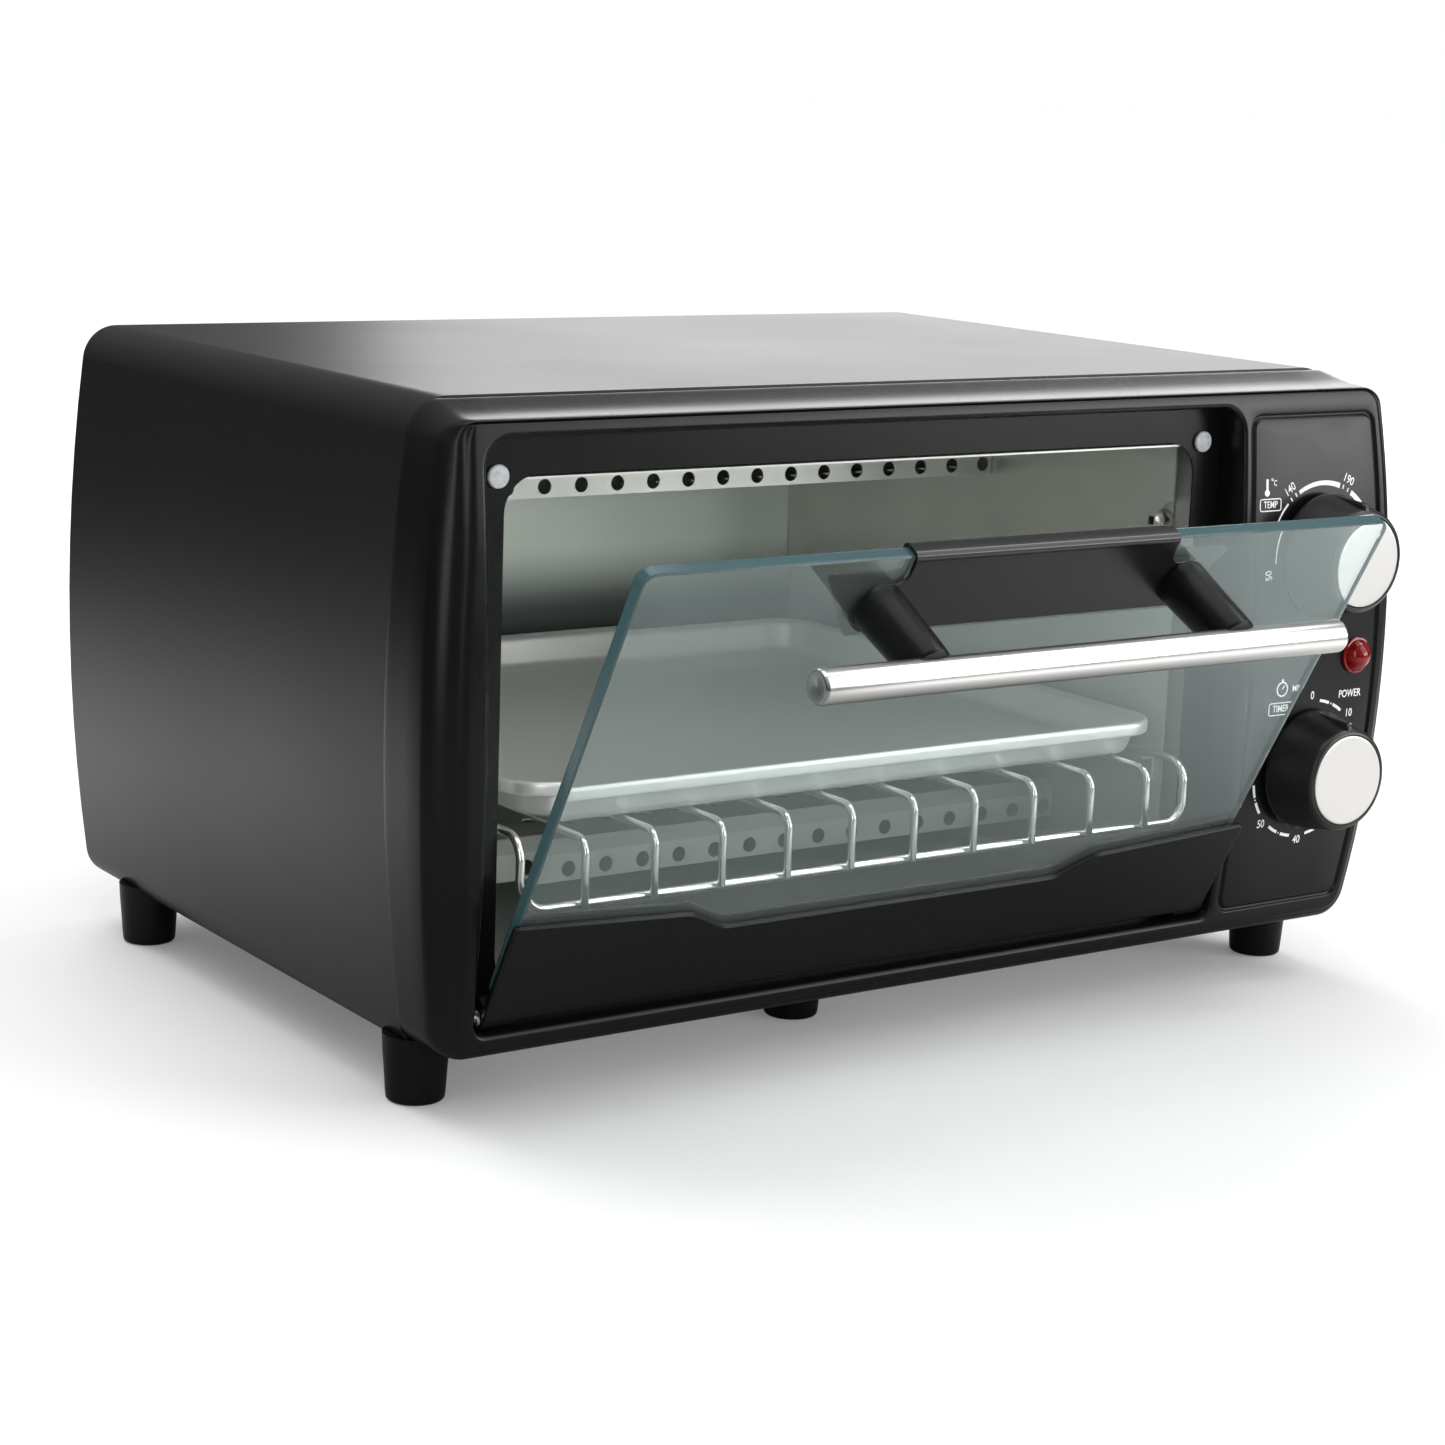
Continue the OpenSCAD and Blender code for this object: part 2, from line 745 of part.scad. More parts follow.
// One wire run: straight stretches with ball joints between them.
module wire_run(points, r) {
    for (i = [0:len(points) - 2]) {
        v = points[i + 1] - points[i];
        l = norm(v);
        translate(points[i]) rotate([0, acos(v[2] / l), atan2(v[1], v[0])]) cylinder(r = r, h = l, $fn = 24);
        if (i > 0) translate(points[i]) sphere(r + 0.1, $fn = 24);
    }
}

module wiring() {
    color([0.85, 0.85, 0.82]) {
        wire_run([[130, 193, 23], [128, 150, 24], [130, 90, 34], [138, 48, 56]], 1.1);
        wire_run([[140, 193, 23], [146, 150, 30], [150, 110, 40], [162, 48, 56]], 1.1);
        wire_run([[122.6, 110, 54.5], [130, 112, 80], [132, 80, 110], [139, 40, 140]], 1.1);
        wire_run([[122.6, 136, 173], [132, 118, 166], [146, 80, 150], [161, 40, 140]], 1.1);
        wire_run([[165, 29, 111.5], [160, 60, 112], [152, 130, 60], [152, 180, 40], [150, 193, 30]], 1.1);
    }
}

// --------------------------------------------------------------------- feet

module foot(x, y) {
    top = casing_low + 5;
    low_bevel = 1.2;
    color([0.045, 0.045, 0.05]) difference() {
        translate([x, y, 0]) union() {
            cylinder(r1 = foot_low_r - low_bevel, r2 = foot_low_r, h = low_bevel, $fn = 64);
            translate([0, 0, low_bevel])
                cylinder(r1 = foot_low_r, r2 = foot_top_r, h = top - low_bevel, $fn = 64);
        }
        along_y(seam_y - 10, rear_y) bowed_outline(half_w + eps, side_bow, casing_low - eps,
            casing_top, top_corner_r, low_corner_r);
        translate([x - sign(x) * screw_in, y, -1]) {
            cylinder(r = 1.8, h = casing_low + 3);
            cylinder(r = 3.4, h = 5);
        }
    }
}

module centre_foot() {
    low_bevel = 1.2;
    top = casing_low + sheet;
    color([0.045, 0.045, 0.05]) difference() {
        translate([foot_centre_pos[0], foot_centre_pos[1], 0]) union() {
            cylinder(r1 = foot_low_r - low_bevel, r2 = foot_low_r, h = low_bevel, $fn = 64);
            translate([0, 0, low_bevel])
                cylinder(r1 = foot_low_r, r2 = foot_top_r, h = top - low_bevel, $fn = 64);
        }
        translate([foot_centre_pos[0], foot_centre_pos[1], -1]) {
            cylinder(r = 1.8, h = top + 3);
            cylinder(r = 3.4, h = 5);
        }
    }
}

module foot_front_left() {
    foot(-foot_x, foot_y[0]);
}

module foot_front_right() {
    foot(foot_x, foot_y[0]);
}

module foot_rear_left() {
    foot(-foot_x, foot_y[1]);
}

module foot_rear_right() {
    foot(foot_x, foot_y[1]);
}

module foot_centre() {
    centre_foot();
}

module foot_screws() {
    positions = concat([for (x = [screw_in - foot_x, foot_x - screw_in], y = foot_y) [x, y]], [foot_centre_pos]);
    color([0.7, 0.7, 0.72]) for (p = positions) {
        rod_z(1.8, 3.9, p[0], p[1], 3.2);
        rod_z(3.8, casing_low + 5, p[0], p[1], 1.7);
    }
}

module rear_screws() {
    color([0.12, 0.12, 0.13]) for (p = rear_screw_pos)
        pan_screw_y(p[0], rear_plate_y + sheet + eps, p[1], 3.2, 6);
}

module cavity_screws() {
    color([0.8, 0.79, 0.76]) {
        for (s = [-1, 1]) translate([door_x + s * cav_screw_x, 21.4, cav_screw_z]) {
            lens_dome(3.6, 2.4);
            rod_y(-eps, 6, 0, 0, 1.6);
        }
        translate([ceiling_screw[0], ceiling_screw[1], cav_top - eps]) rotate([90, 0, 0]) {
            translate([0, -eps, 0]) lens_dome(3.6, 2);
            rod_y(-1, 5, 0, 0, 1.6);
        }
    }
}

// --------------------------------------------------------------------- door

// Places a shape drawn on the upright door: its X is the oven's X measured
// from the door's middle, its Y is depth from the hinge axis, Z is height.
module on_door() {
    translate([door_x, hinge_y, hinge_z]) rotate([door_angle, 0, 0]) children();
}

door_screw_x = [-104, 0, 104];
door_screw_z = 15;
bracket_half_w = 48;

module door_glass() {
    color([0.72, 0.82, 0.8, 0.4]) on_door() difference() {
        along_y(glass_front, glass_back) difference() {
            rounded_rect(-glass_w / 2, 6, glass_w / 2, glass_top, 5);
        }
        for (x = door_screw_x) rod_y(glass_front - 1, glass_back + 1, x, door_screw_z, 3);
        for (s = [-1, 1]) rod_y(glass_front - 1, glass_back + 1, s * post_x, handle_rise, 3);
    }
}

// Outline of the strips along the bottom of the door: high at both ends and
// stepped down in the middle.
module strip_outline(w, low, lift) {
    polygon([
        [-w, low + 2.5], [2.5 - w, low], [w - 2.5, low], [w, low + 2.5], [w, 37 + lift], [78, 33.5 + lift], [64, 26 + lift],
        [-64, 26 + lift], [-78, 33.5 + lift], [-w, 37 + lift]
    ]);
}

module door_trim() {
    color([0.045, 0.045, 0.05]) on_door() difference() {
        union() {
            along_y(glass_front - trim_t, glass_front - 0.1) strip_outline(trim_half_w, 0, 0);
            for (s = [-1, 1]) {
                rod_x(s > 0 ? 126 : -trim_half_w, s > 0 ? trim_half_w : -126, 0, 0, knuckle_r);
                box([s > 0 ? 126 : -trim_half_w, glass_front - 1, 0],
                    [s > 0 ? trim_half_w : -126, 3, 5.8]);
            }
            for (x = door_screw_x) rod_y(glass_front - 1, glass_back - 0.2, x, door_screw_z, 2.9);
            along_y(glass_front - trim_t, 1.5) translate([-125, 0]) square([250, 5.5]);
        }
        for (s = [-1, 1]) rod_x(s > 0 ? 120 : -140, s > 0 ? 140 : -120, 0, 0, pin_r + run_gap);
        for (x = door_screw_x) rod_y(glass_front, glass_back + 1, x, door_screw_z, 1.3);
    }
}

module door_inner_strip() {
    color([0.05, 0.05, 0.055]) on_door() difference() {
        along_y(glass_back + 0.1, glass_back + 1.1) strip_outline(134, 7, 3.5);
        for (x = door_screw_x) rod_y(glass_back - 1, glass_back + 3, x, door_screw_z, 1.8);
    }
}

module door_screws() {
    color([0.3, 0.3, 0.3]) on_door() for (x = door_screw_x) {
        rod_y(glass_front + 0.5, glass_back + 1.2, x, door_screw_z, 1.25);
        rod_y(glass_back + 1.15, glass_back + 2.2, x, door_screw_z, 3);
    }
}

bracket_t = 1;
pad_t = 0.3;

module handle_bracket() {
    front = glass_front - pad_t - bracket_t;
    back = glass_back + pad_t + bracket_t;
    top = glass_top + pad_t + bracket_t;
    color([0.06, 0.06, 0.065]) on_door() difference() {
        union() {
            box([-bracket_half_w, front, 134.5], [bracket_half_w, front + bracket_t, top]);
            box([-bracket_half_w, front, top - bracket_t], [bracket_half_w, back, top]);
            box([-bracket_half_w, back - bracket_t, 148], [bracket_half_w, back, top]);
            along_y(back - bracket_t, back)
                polygon([[-74, 153], [74, 153], [60, 131], [-60, 131]]);
        }
        for (s = [-1, 1]) rod_y(0, back + 1, s * post_x, handle_rise, 1.8);
    }
}

// Silicone lining between the folded bracket and the glass.
module handle_pad() {
    front = glass_front - pad_t;
    back = glass_back + pad_t;
    color([0.2, 0.2, 0.2]) on_door() difference() {
        box([-bracket_half_w + 1, front + 0.02, 136], [bracket_half_w - 1, back - 0.02, glass_top + pad_t - 0.02]);
        box([-bracket_half_w, glass_front, 130], [bracket_half_w, glass_back, glass_top + 0.02]);
    }
}

module handle_post(s) {
    base_y = glass_front - 0.1;
    color([0.04, 0.04, 0.045]) on_door() translate([s * post_x, base_y, handle_rise]) difference() {
        rotate([90, 0, 0]) cylinder(r1 = 7.8, r2 = 7, h = handle_reach + base_y - 1.5, $fn = 64);
        rod_x(-20, 20, -handle_reach - base_y, 0, bar_d / 2 + 0.02);
        rod_y(-14, 1, 0, 0, 1.7);
        box([s > 0 ? -20 : 6.9 + 0.35, -2, -20], [s > 0 ? -6.9 - 0.35 : 20, 1, 20]);
    }
}

module handle_post_left() {
    handle_post(-1);
}

module handle_post_right() {
    handle_post(1);
}

module handle_bar() {
    color([0.82, 0.82, 0.82]) on_door() translate([-bar_len / 2, -handle_reach, handle_rise])
        rotate([0, 90, 0]) {
            cylinder(r1 = bar_d / 2 - 0.8, r2 = bar_d / 2, h = 0.8, $fn = 64);
            translate([0, 0, 0.8]) cylinder(r = bar_d / 2, h = bar_len - 1.6, $fn = 64);
            translate([0, 0, bar_len - 0.8])
                cylinder(r1 = bar_d / 2, r2 = bar_d / 2 - 0.8, h = 0.8, $fn = 64);
        }
}

module handle_screws() {
    back = glass_back + pad_t + bracket_t;
    color([0.75, 0.75, 0.76]) on_door() for (s = [-1, 1]) {
        rod_y(back + eps, back + 2, s * post_x, handle_rise, 3.3);
        rod_y(-14, back + 0.1, s * post_x, handle_rise, 1.6);
    }
}

// ------------------------------------------------------------- rack and tray

// A quarter bend of wire in the Y-Z plane, from level and facing forward to
// hanging down.
module front_bend(r_bend, r_wire) {
    rotate([0, 90, 0]) rotate([0, 0, 180]) rotate_extrude(angle = 90)
        translate([r_bend, 0]) circle(r_wire, $fn = 24);
}

module long_wire(x) {
    r = wire_d / 2;
    front = rack_front_y + rack_bend_r;
    rod_y(front, rack_rear_y - 0.4, x, rack_z, r);
    translate([x, front, rack_z - rack_bend_r]) front_bend(rack_bend_r, r);
    rod_z(rack_low_z - 1.6, rack_z - rack_bend_r, x, rack_front_y, r);
}

module wire_rack() {
    r = wire_d / 2 + 0.15;
    corner = 8;
    cross_y = rack_front_y + wire_d;
    color([0.85, 0.85, 0.85]) translate([door_x, 0, 0]) {
        for (i = [0:wire_count - 1]) long_wire((i - (wire_count - 1) / 2) * wire_pitch);
        for (s = [-1, 1]) {
            x = s * rack_half_w;
            rod_y(cross_y + rack_bend_r, rack_rear_y - corner, x, rack_z, r);
            translate([x, cross_y + rack_bend_r, rack_z - rack_bend_r]) front_bend(rack_bend_r, r);
            rod_z(rack_low_z + corner, rack_z - rack_bend_r, x, cross_y, r);
            translate([s * (rack_half_w - corner), cross_y, rack_low_z + corner]) rotate([90, 0, 0])
                rotate([0, 0, s > 0 ? -90 : 180]) rotate_extrude(angle = 90)
                    translate([corner, 0]) circle(r, $fn = 24);
            translate([s * (rack_half_w - corner), rack_rear_y - corner, rack_z])
                rotate([0, 0, s > 0 ? 0 : 90]) rotate_extrude(angle = 90)
                    translate([corner, 0]) circle(r, $fn = 24);
        }
        rod_x(corner - rack_half_w, rack_half_w - corner, cross_y, rack_low_z, r);
        rod_x(corner - rack_half_w, rack_half_w - corner, rack_rear_y, rack_z, r);
        rod_x(-112, 112, rack_rear_y / 2, rack_z - wire_d + 0.2, wire_d / 2);
    }
}

module baking_tray() {
    w = tray_w / 2;
    wall_in = 3;
    t = 0.9;
    color([0.82, 0.82, 0.8]) translate([door_x, 0, tray_z]) difference() {
        union() {
            linear_extrude(height = tray_h)
                rounded_rect(-w + wall_in, tray_y + wall_in, w - wall_in, tray_y + tray_d - wall_in,
                    tray_corner_r - wall_in);
            translate([0, 0, tray_h - 1.8]) linear_extrude(height = 1.8)
                rounded_rect(-w, tray_y, w, tray_y + tray_d, tray_corner_r);
        }
        translate([0, 0, t]) linear_extrude(height = tray_h)
            rounded_rect(-w + wall_in + t, tray_y + wall_in + t, w - wall_in - t,
                tray_y + tray_d - wall_in - t, tray_corner_r - wall_in - t);
    }
}

// ----------------------------------------------------------------- drawing

place() {
    casing();
    rear_panel();
    base_plate();
    front_frame();
    inner_frame();
    cavity_left_wall();
    cavity_right_wall();
    cavity_ceiling();
    cavity_floor();
    cavity_rear_wall();
    upper_heater_guard();
    lower_heater_guard();
    upper_heating_element();
    lower_heating_element();
    element_bushings();
    rack_rails();
    heat_shield();
    control_bracket();
    thermostat();
    timer();
    timer_bell();
    indicator_lens();
    indicator_lamp();
    door_bumpers();
    hinge_pins();
    hinge_brackets();
    hinge_washers();
    cord_gland();
    terminal_block();
    wiring();
    foot_front_left();
    foot_front_right();
    foot_rear_left();
    foot_rear_right();
    foot_centre();
    foot_screws();
    rear_screws();
    cavity_screws();
    control_screws();
    door_glass();
    door_trim();
    door_inner_strip();
    door_screws();
    handle_bracket();
    handle_pad();
    handle_post_left();
    handle_post_right();
    handle_bar();
    handle_screws();
    temp_knob();
    temp_knob_cap();
    temp_shaft();
    timer_knob();
    timer_knob_cap();
    timer_shaft();
    wire_rack();
    baking_tray();
}
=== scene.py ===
"""Looks of the toaster oven: camera, floor, lights, detailed pieces and procedural materials."""

import json
from math import asin, atan2, cos, hypot, pi, radians, sin, sqrt, tan

import bmesh
import bpy
from mathutils import Matrix, Vector
from mathutils.geometry import delaunay_2d_cdt


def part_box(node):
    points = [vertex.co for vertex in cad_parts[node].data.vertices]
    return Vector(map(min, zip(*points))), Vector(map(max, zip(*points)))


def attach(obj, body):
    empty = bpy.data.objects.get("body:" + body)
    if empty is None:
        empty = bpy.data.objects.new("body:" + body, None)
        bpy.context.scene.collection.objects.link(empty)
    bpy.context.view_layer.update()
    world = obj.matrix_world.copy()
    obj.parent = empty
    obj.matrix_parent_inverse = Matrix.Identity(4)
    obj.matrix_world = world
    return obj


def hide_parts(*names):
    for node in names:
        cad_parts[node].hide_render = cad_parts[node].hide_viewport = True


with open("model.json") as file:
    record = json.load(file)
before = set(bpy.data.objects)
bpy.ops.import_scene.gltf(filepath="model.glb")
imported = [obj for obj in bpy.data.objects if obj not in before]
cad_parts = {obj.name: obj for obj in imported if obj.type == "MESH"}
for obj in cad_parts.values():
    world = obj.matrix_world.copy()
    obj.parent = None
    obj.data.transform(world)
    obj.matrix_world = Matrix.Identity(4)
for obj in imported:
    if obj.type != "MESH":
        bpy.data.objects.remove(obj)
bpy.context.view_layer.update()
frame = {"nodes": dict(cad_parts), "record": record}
scene = bpy.context.scene

# Main sizes in millimetres, in the design's own frame: X is 0 at the middle of
# the body, Y is 0 at the rim of the front frame and Z is 0 on the floor.
DEPTH = 251.0
SHIFT_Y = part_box("casing")[1][1] * 1000 - DEPTH
DOOR_X = -25.6
HINGE_Y = 4.5
HINGE_Z = 31.0
DOOR_TILT = radians(28.6)
FACE_BULGE = 6.0
FRAME_LOW = 19.75
FRAME_TOP = 204.6
FRAME_HALF_W = 184.5
SIDE_BOW = 7.0
KNOB_X = 150.0
TEMP_Z = 148.0
TIMER_Z = 75.0
LENS_X = 168.5
LENS_Z = 112.5


def place(x, y, z):
    """A point of the design frame, in metres."""
    return Vector((x / 1000, (y + SHIFT_Y) / 1000, z / 1000))


def on_door(x, depth, height):
    """A point of the upright door, tilted about its hinge: depth is negative to the front."""
    y = HINGE_Y + depth * cos(DOOR_TILT) - height * sin(DOOR_TILT)
    z = HINGE_Z + depth * sin(DOOR_TILT) + height * cos(DOOR_TILT)
    return place(DOOR_X + x, y, z)


def linked(name, data):
    """A new object in the scene."""
    obj = bpy.data.objects.new(name, data)
    scene.collection.objects.link(obj)
    return obj


def facing(direction):
    """The rotation that points a lamp in a direction."""
    return direction.to_track_quat("-Z", "Y").to_euler()


# ------------------------------------------------------------------ camera

CAMERA_TURN = radians(-34.70)
CAMERA_RISE = radians(11.87)
CAMERA_ROLL = radians(2.08)

back = Vector((sin(CAMERA_TURN) * cos(CAMERA_RISE), -cos(CAMERA_TURN) * cos(CAMERA_RISE),
               sin(CAMERA_RISE)))
side = (-back).cross(Vector((0, 0, 1))).normalized()
upward = side.cross(-back)
camera_x = side * cos(CAMERA_ROLL) + upward * sin(CAMERA_ROLL)
camera_y = upward * cos(CAMERA_ROLL) - side * sin(CAMERA_ROLL)
turn = Matrix((camera_x, camera_y, back)).transposed().to_4x4()
camera_data = bpy.data.cameras.new("camera")
camera_data.sensor_width = 36.0
camera_data.lens = 77.01
camera = linked("camera", camera_data)
camera.matrix_world = Matrix.Translation(place(-587.8, -726.5, 296.4)) @ turn
scene.camera = camera

# ------------------------------------------------------------------- light

scene.view_settings.view_transform = "Standard"
scene.view_settings.look = "None"


def fill_ramp(ramp, stops):
    """Sets the stops of a colour ramp, each a position and a colour or a grey."""
    while len(ramp.elements) < len(stops):
        ramp.elements.new(0.5)
    for element, (position, color) in zip(ramp.elements, stops):
        element.position = position
        element.color = (*color, 1.0) if isinstance(color, tuple) else (color,) * 3 + (1.0,)


def area_light(name, position, target, size, power, height):
    data = bpy.data.lights.new(name, "AREA")
    data.shape = "RECTANGLE"
    data.size = size
    data.size_y = height
    data.energy = power
    lamp = linked(name, data)
    lamp.location = position
    lamp.rotation_euler = facing(Vector(target) - Vector(position))


world = bpy.data.worlds.new("studio")
scene.world = world
world.use_nodes = True
world.node_tree.nodes.clear()
add_node = world.node_tree.nodes.new
link = world.node_tree.links.new
plain = add_node("ShaderNodeBackground")
plain.inputs["Color"].default_value = (1.0, 1.0, 1.0, 1.0)
ambient = add_node("ShaderNodeBackground")
ambient.inputs["Strength"].default_value = 0.62
mirrored = add_node("ShaderNodeBackground")
split = add_node("ShaderNodeSeparateXYZ")
heights = add_node("ShaderNodeValToRGB")
fill_ramp(heights.color_ramp, [(0.0, 0.07), (0.25, 0.16), (0.9, 0.40), (1.0, 0.40)])
link(add_node("ShaderNodeTexCoord").outputs["Generated"], split.inputs[0])
link(split.outputs["Z"], heights.inputs["Fac"])
link(heights.outputs["Color"], mirrored.inputs["Color"])
rays = add_node("ShaderNodeLightPath")
soft = add_node("ShaderNodeMixShader")
link(rays.outputs["Is Diffuse Ray"], soft.inputs["Fac"])
link(plain.outputs[0], soft.inputs[1])
link(ambient.outputs[0], soft.inputs[2])
which = add_node("ShaderNodeMixShader")
link(rays.outputs["Is Glossy Ray"], which.inputs["Fac"])
link(soft.outputs[0], which.inputs[1])
link(mirrored.outputs[0], which.inputs[2])
link(which.outputs[0], add_node("ShaderNodeOutputWorld").inputs["Surface"])

sun_data = bpy.data.lights.new("high_sun", "SUN")
sun_data.energy = 1.7
sun_data.angle = radians(48)
sun = linked("high_sun", sun_data)
sun.rotation_euler = facing(Vector((0.06, -0.64, -0.74)))
sun.visible_glossy = False
area_light("top_softbox", (0.0, -0.1, 1.7), (0, 0, 0.1), 1.4, 9, 1.2)
area_light("front_right_softbox", (1.30, -1.45, 1.15), (0, -0.05, 0.4), 1.5, 22, 2.1)
area_light("low_right_strip", (1.55, -1.50, 0.32), (0.1, 0, 0.15), 1.2, 9, 0.5)
area_light("left_front_strip", (-0.92, -1.35, 0.45), (-0.1, 0, 0.12), 0.22, 4.2, 1.4)
area_light("high_right_strip", (1.05, -0.22, 1.45), (0.0, 0, 0.2), 0.5, 4, 0.5)
area_light("back_right_softbox", (1.30, 1.55, 0.67), (0, 0, 0.25), 1.15, 6, 0.52)

# A narrow lamp reaches into the cavity without showing in any gloss.
fill_data = bpy.data.lights.new("cavity_fill", "SPOT")
fill_data.energy = 22
fill_data.spot_size = radians(11)
fill_data.spot_blend = 0.6
fill_data.shadow_soft_size = 0.12
fill = linked("cavity_fill", fill_data)
fill.location = (0.30, -1.75, 0.42)
fill.rotation_euler = facing(Vector((-0.03, 0.0, 0.115)) - fill.location)
fill.visible_glossy = False

# --------------------------------------------------------------- materials


class Shader:
    """A principled material with a few nodes round it."""

    def __init__(self, name, color, roughness, metallic=0.0):
        self.material = bpy.data.materials.new(name)
        self.material.use_nodes = True
        self.nodes = self.material.node_tree.nodes
        self.links = self.material.node_tree.links
        self.main = self.nodes["Principled BSDF"]
        self.set("Base Color", (*color, 1.0))
        self.set("Roughness", roughness)
        self.set("Metallic", metallic)
        self.coord = self.nodes.new("ShaderNodeTexCoord").outputs["Object"]
        self.normal = None

    def set(self, socket, value):
        self.main.inputs[socket].default_value = value

    def add(self, kind, **inputs):
        node = self.nodes.new(kind)
        for key, value in inputs.items():
            node.inputs[key.replace("_", " ")].default_value = value
        return node

    def stretch(self, x, y, z):
        """Coordinates scaled along each axis, for streaks."""
        node = self.add("ShaderNodeMapping", Scale=(x, y, z))
        self.links.new(self.coord, node.inputs["Vector"])
        return node.outputs["Vector"]

    def noise(self, scale, detail=2.0, rough=0.5, vector=None):
        node = self.add("ShaderNodeTexNoise", Scale=scale, Detail=detail, Roughness=rough)
        self.links.new(vector or self.coord, node.inputs["Vector"])
        return node.outputs["Fac"]

    def ramp(self, value, stops):
        node = self.nodes.new("ShaderNodeValToRGB")
        fill_ramp(node.color_ramp, stops)
        self.links.new(value, node.inputs["Fac"])
        return node.outputs["Color"]

    def span(self, value, low, high, start=0.0, end=1.0, kind="LINEAR"):
        """Maps a value that goes from start to end to low to high."""
        node = self.add("ShaderNodeMapRange", From_Min=start, From_Max=end, To_Min=low, To_Max=high)
        node.interpolation_type = kind
        self.links.new(value, node.inputs["Value"])
        return node.outputs["Result"]

    def ball(self, vector):
        """A gradient that fades from 1 at the centre to 0 on the unit sphere."""
        node = self.nodes.new("ShaderNodeTexGradient")
        node.gradient_type = "SPHERICAL"
        self.links.new(vector, node.inputs["Vector"])
        return node.outputs["Fac"]

    def show_instead(self, ray, other):
        """Shows another shader to one kind of ray, such as Is Glossy Ray."""
        rays = self.nodes.new("ShaderNodeLightPath")
        mix = self.nodes.new("ShaderNodeMixShader")
        self.links.new(rays.outputs[ray], mix.inputs["Fac"])
        self.links.new(self.main.outputs[0], mix.inputs[1])
        self.links.new(other.outputs[0], mix.inputs[2])
        self.links.new(mix.outputs[0], self.nodes["Material Output"].inputs["Surface"])

    def drive(self, socket, value):
        self.links.new(value, self.main.inputs[socket])

    def bump(self, value, strength, distance):
        node = self.add("ShaderNodeBump", Strength=strength, Distance=distance)
        self.links.new(value, node.inputs["Height"])
        if self.normal:
            self.links.new(self.normal, node.inputs["Normal"])
        self.normal = node.outputs["Normal"]
        self.links.new(self.normal, self.main.inputs["Normal"])


def satin_paint(name, color, roughness, grain=1400.0, depth=0.00004, specular=0.5):
    """Powder paint or moulded plastic: fine grain and slight changes in gloss."""
    s = Shader(name, color, roughness)
    s.set("Specular IOR Level", specular)
    patch = s.noise(9.0, 3.0)
    s.drive("Roughness", s.span(patch, roughness - 0.04, roughness + 0.05))
    dark = tuple(c * 0.85 for c in color)
    pale = tuple(min(c * 1.2, 1.0) for c in color)
    s.drive("Base Color", s.ramp(s.noise(grain, 2.0), [(0.35, dark), (0.65, pale)]))
    s.bump(s.noise(grain, 2.0), 0.35, depth)
    return s.material


paint = satin_paint("black_satin_paint", (0.006, 0.006, 0.006), 0.36)
gloss_paint = satin_paint("black_gloss_paint", (0.006, 0.006, 0.006), 0.24)
plastic = satin_paint("black_moulded_plastic", (0.004, 0.004, 0.004), 0.27, 1800.0, 0.00003, 0.26)
inner_black = satin_paint("black_inner_frame", (0.004, 0.004, 0.004), 0.24, specular=0.35)
rubber = satin_paint("black_foot_plastic", (0.004, 0.004, 0.004), 0.30, 900.0, specular=0.18)
knob_black = satin_paint("black_knob_plastic", (0.008, 0.008, 0.008), 0.33, 1800.0, 0.00003)
silicone = satin_paint("grey_silicone", (0.42, 0.44, 0.46), 0.45, 500.0)
pale_plastic = satin_paint("pale_plastic", (0.72, 0.70, 0.62), 0.45, 600.0)
ceramic = satin_paint("bushing_ceramic", (0.80, 0.78, 0.72), 0.55, 800.0)
insulation = satin_paint("wire_insulation", (0.62, 0.62, 0.58), 0.5, 700.0)
print_white = satin_paint("dial_print", (0.80, 0.81, 0.82), 0.5, 2500.0, 0.00001)


def galvanised(name, color, roughness, metallic=0.55):
    """Zinc-coated sheet: soft spangle, rolling streaks and dull patches."""
    s = Shader(name, color, roughness, metallic)
    cells = s.add("ShaderNodeTexVoronoi", Scale=160.0)
    s.links.new(s.coord, cells.inputs["Vector"])
    streaks = s.noise(60.0, 3.0, 0.6, s.stretch(1.0, 0.15, 6.0))
    dark = tuple(c * 0.80 for c in color)
    s.drive("Base Color", s.ramp(s.noise(14.0, 4.0), [(0.3, dark), (0.7, color)]))
    s.drive("Roughness", s.span(streaks, roughness - 0.10, roughness + 0.12))
    s.bump(cells.outputs["Distance"], 0.10, 0.0002)
    s.bump(s.noise(420.0, 2.0), 0.10, 0.0001)
    return s


zinc = galvanised("galvanised_steel", (0.72, 0.74, 0.69), 0.36).material
# The cavity's rear wall: a lighter copy of the galvanised steel as painted light, with painted shade that
# turns it nearly black towards the bottom, below a height of 0.100 to 0.126 m.
painted_back_zinc_shader = galvanised("galvanised_back_painted_shade", (0.92, 0.98, 0.91), 0.40, 0.35)
height = painted_back_zinc_shader.nodes.new("ShaderNodeSeparateXYZ")
painted_back_zinc_shader.links.new(painted_back_zinc_shader.coord, height.inputs[0])
painted_shade_fade = painted_back_zinc_shader.span(height.outputs["Z"], 0.0, 1.0, 0.100, 0.126, "SMOOTHSTEP")
painted_back_zinc_shader.drive("Base Color", painted_back_zinc_shader.ramp(
    painted_shade_fade, [(0.0, (0.10, 0.115, 0.11)), (1.0, (0.92, 0.98, 0.91))]))
painted_back_zinc = painted_back_zinc_shader.material


def brushed(name, color, roughness, streak, depth=0.00002, metallic=1.0):
    """Drawn or brushed metal with fine lines; streak holds the line density on each axis."""
    s = Shader(name, color, roughness, metallic)
    lines = s.noise(1.0, 3.0, 0.6, s.stretch(*streak))
    s.drive("Roughness", s.span(lines, roughness - 0.08, roughness + 0.10))
    s.bump(lines, 0.25, depth)
    return s.material


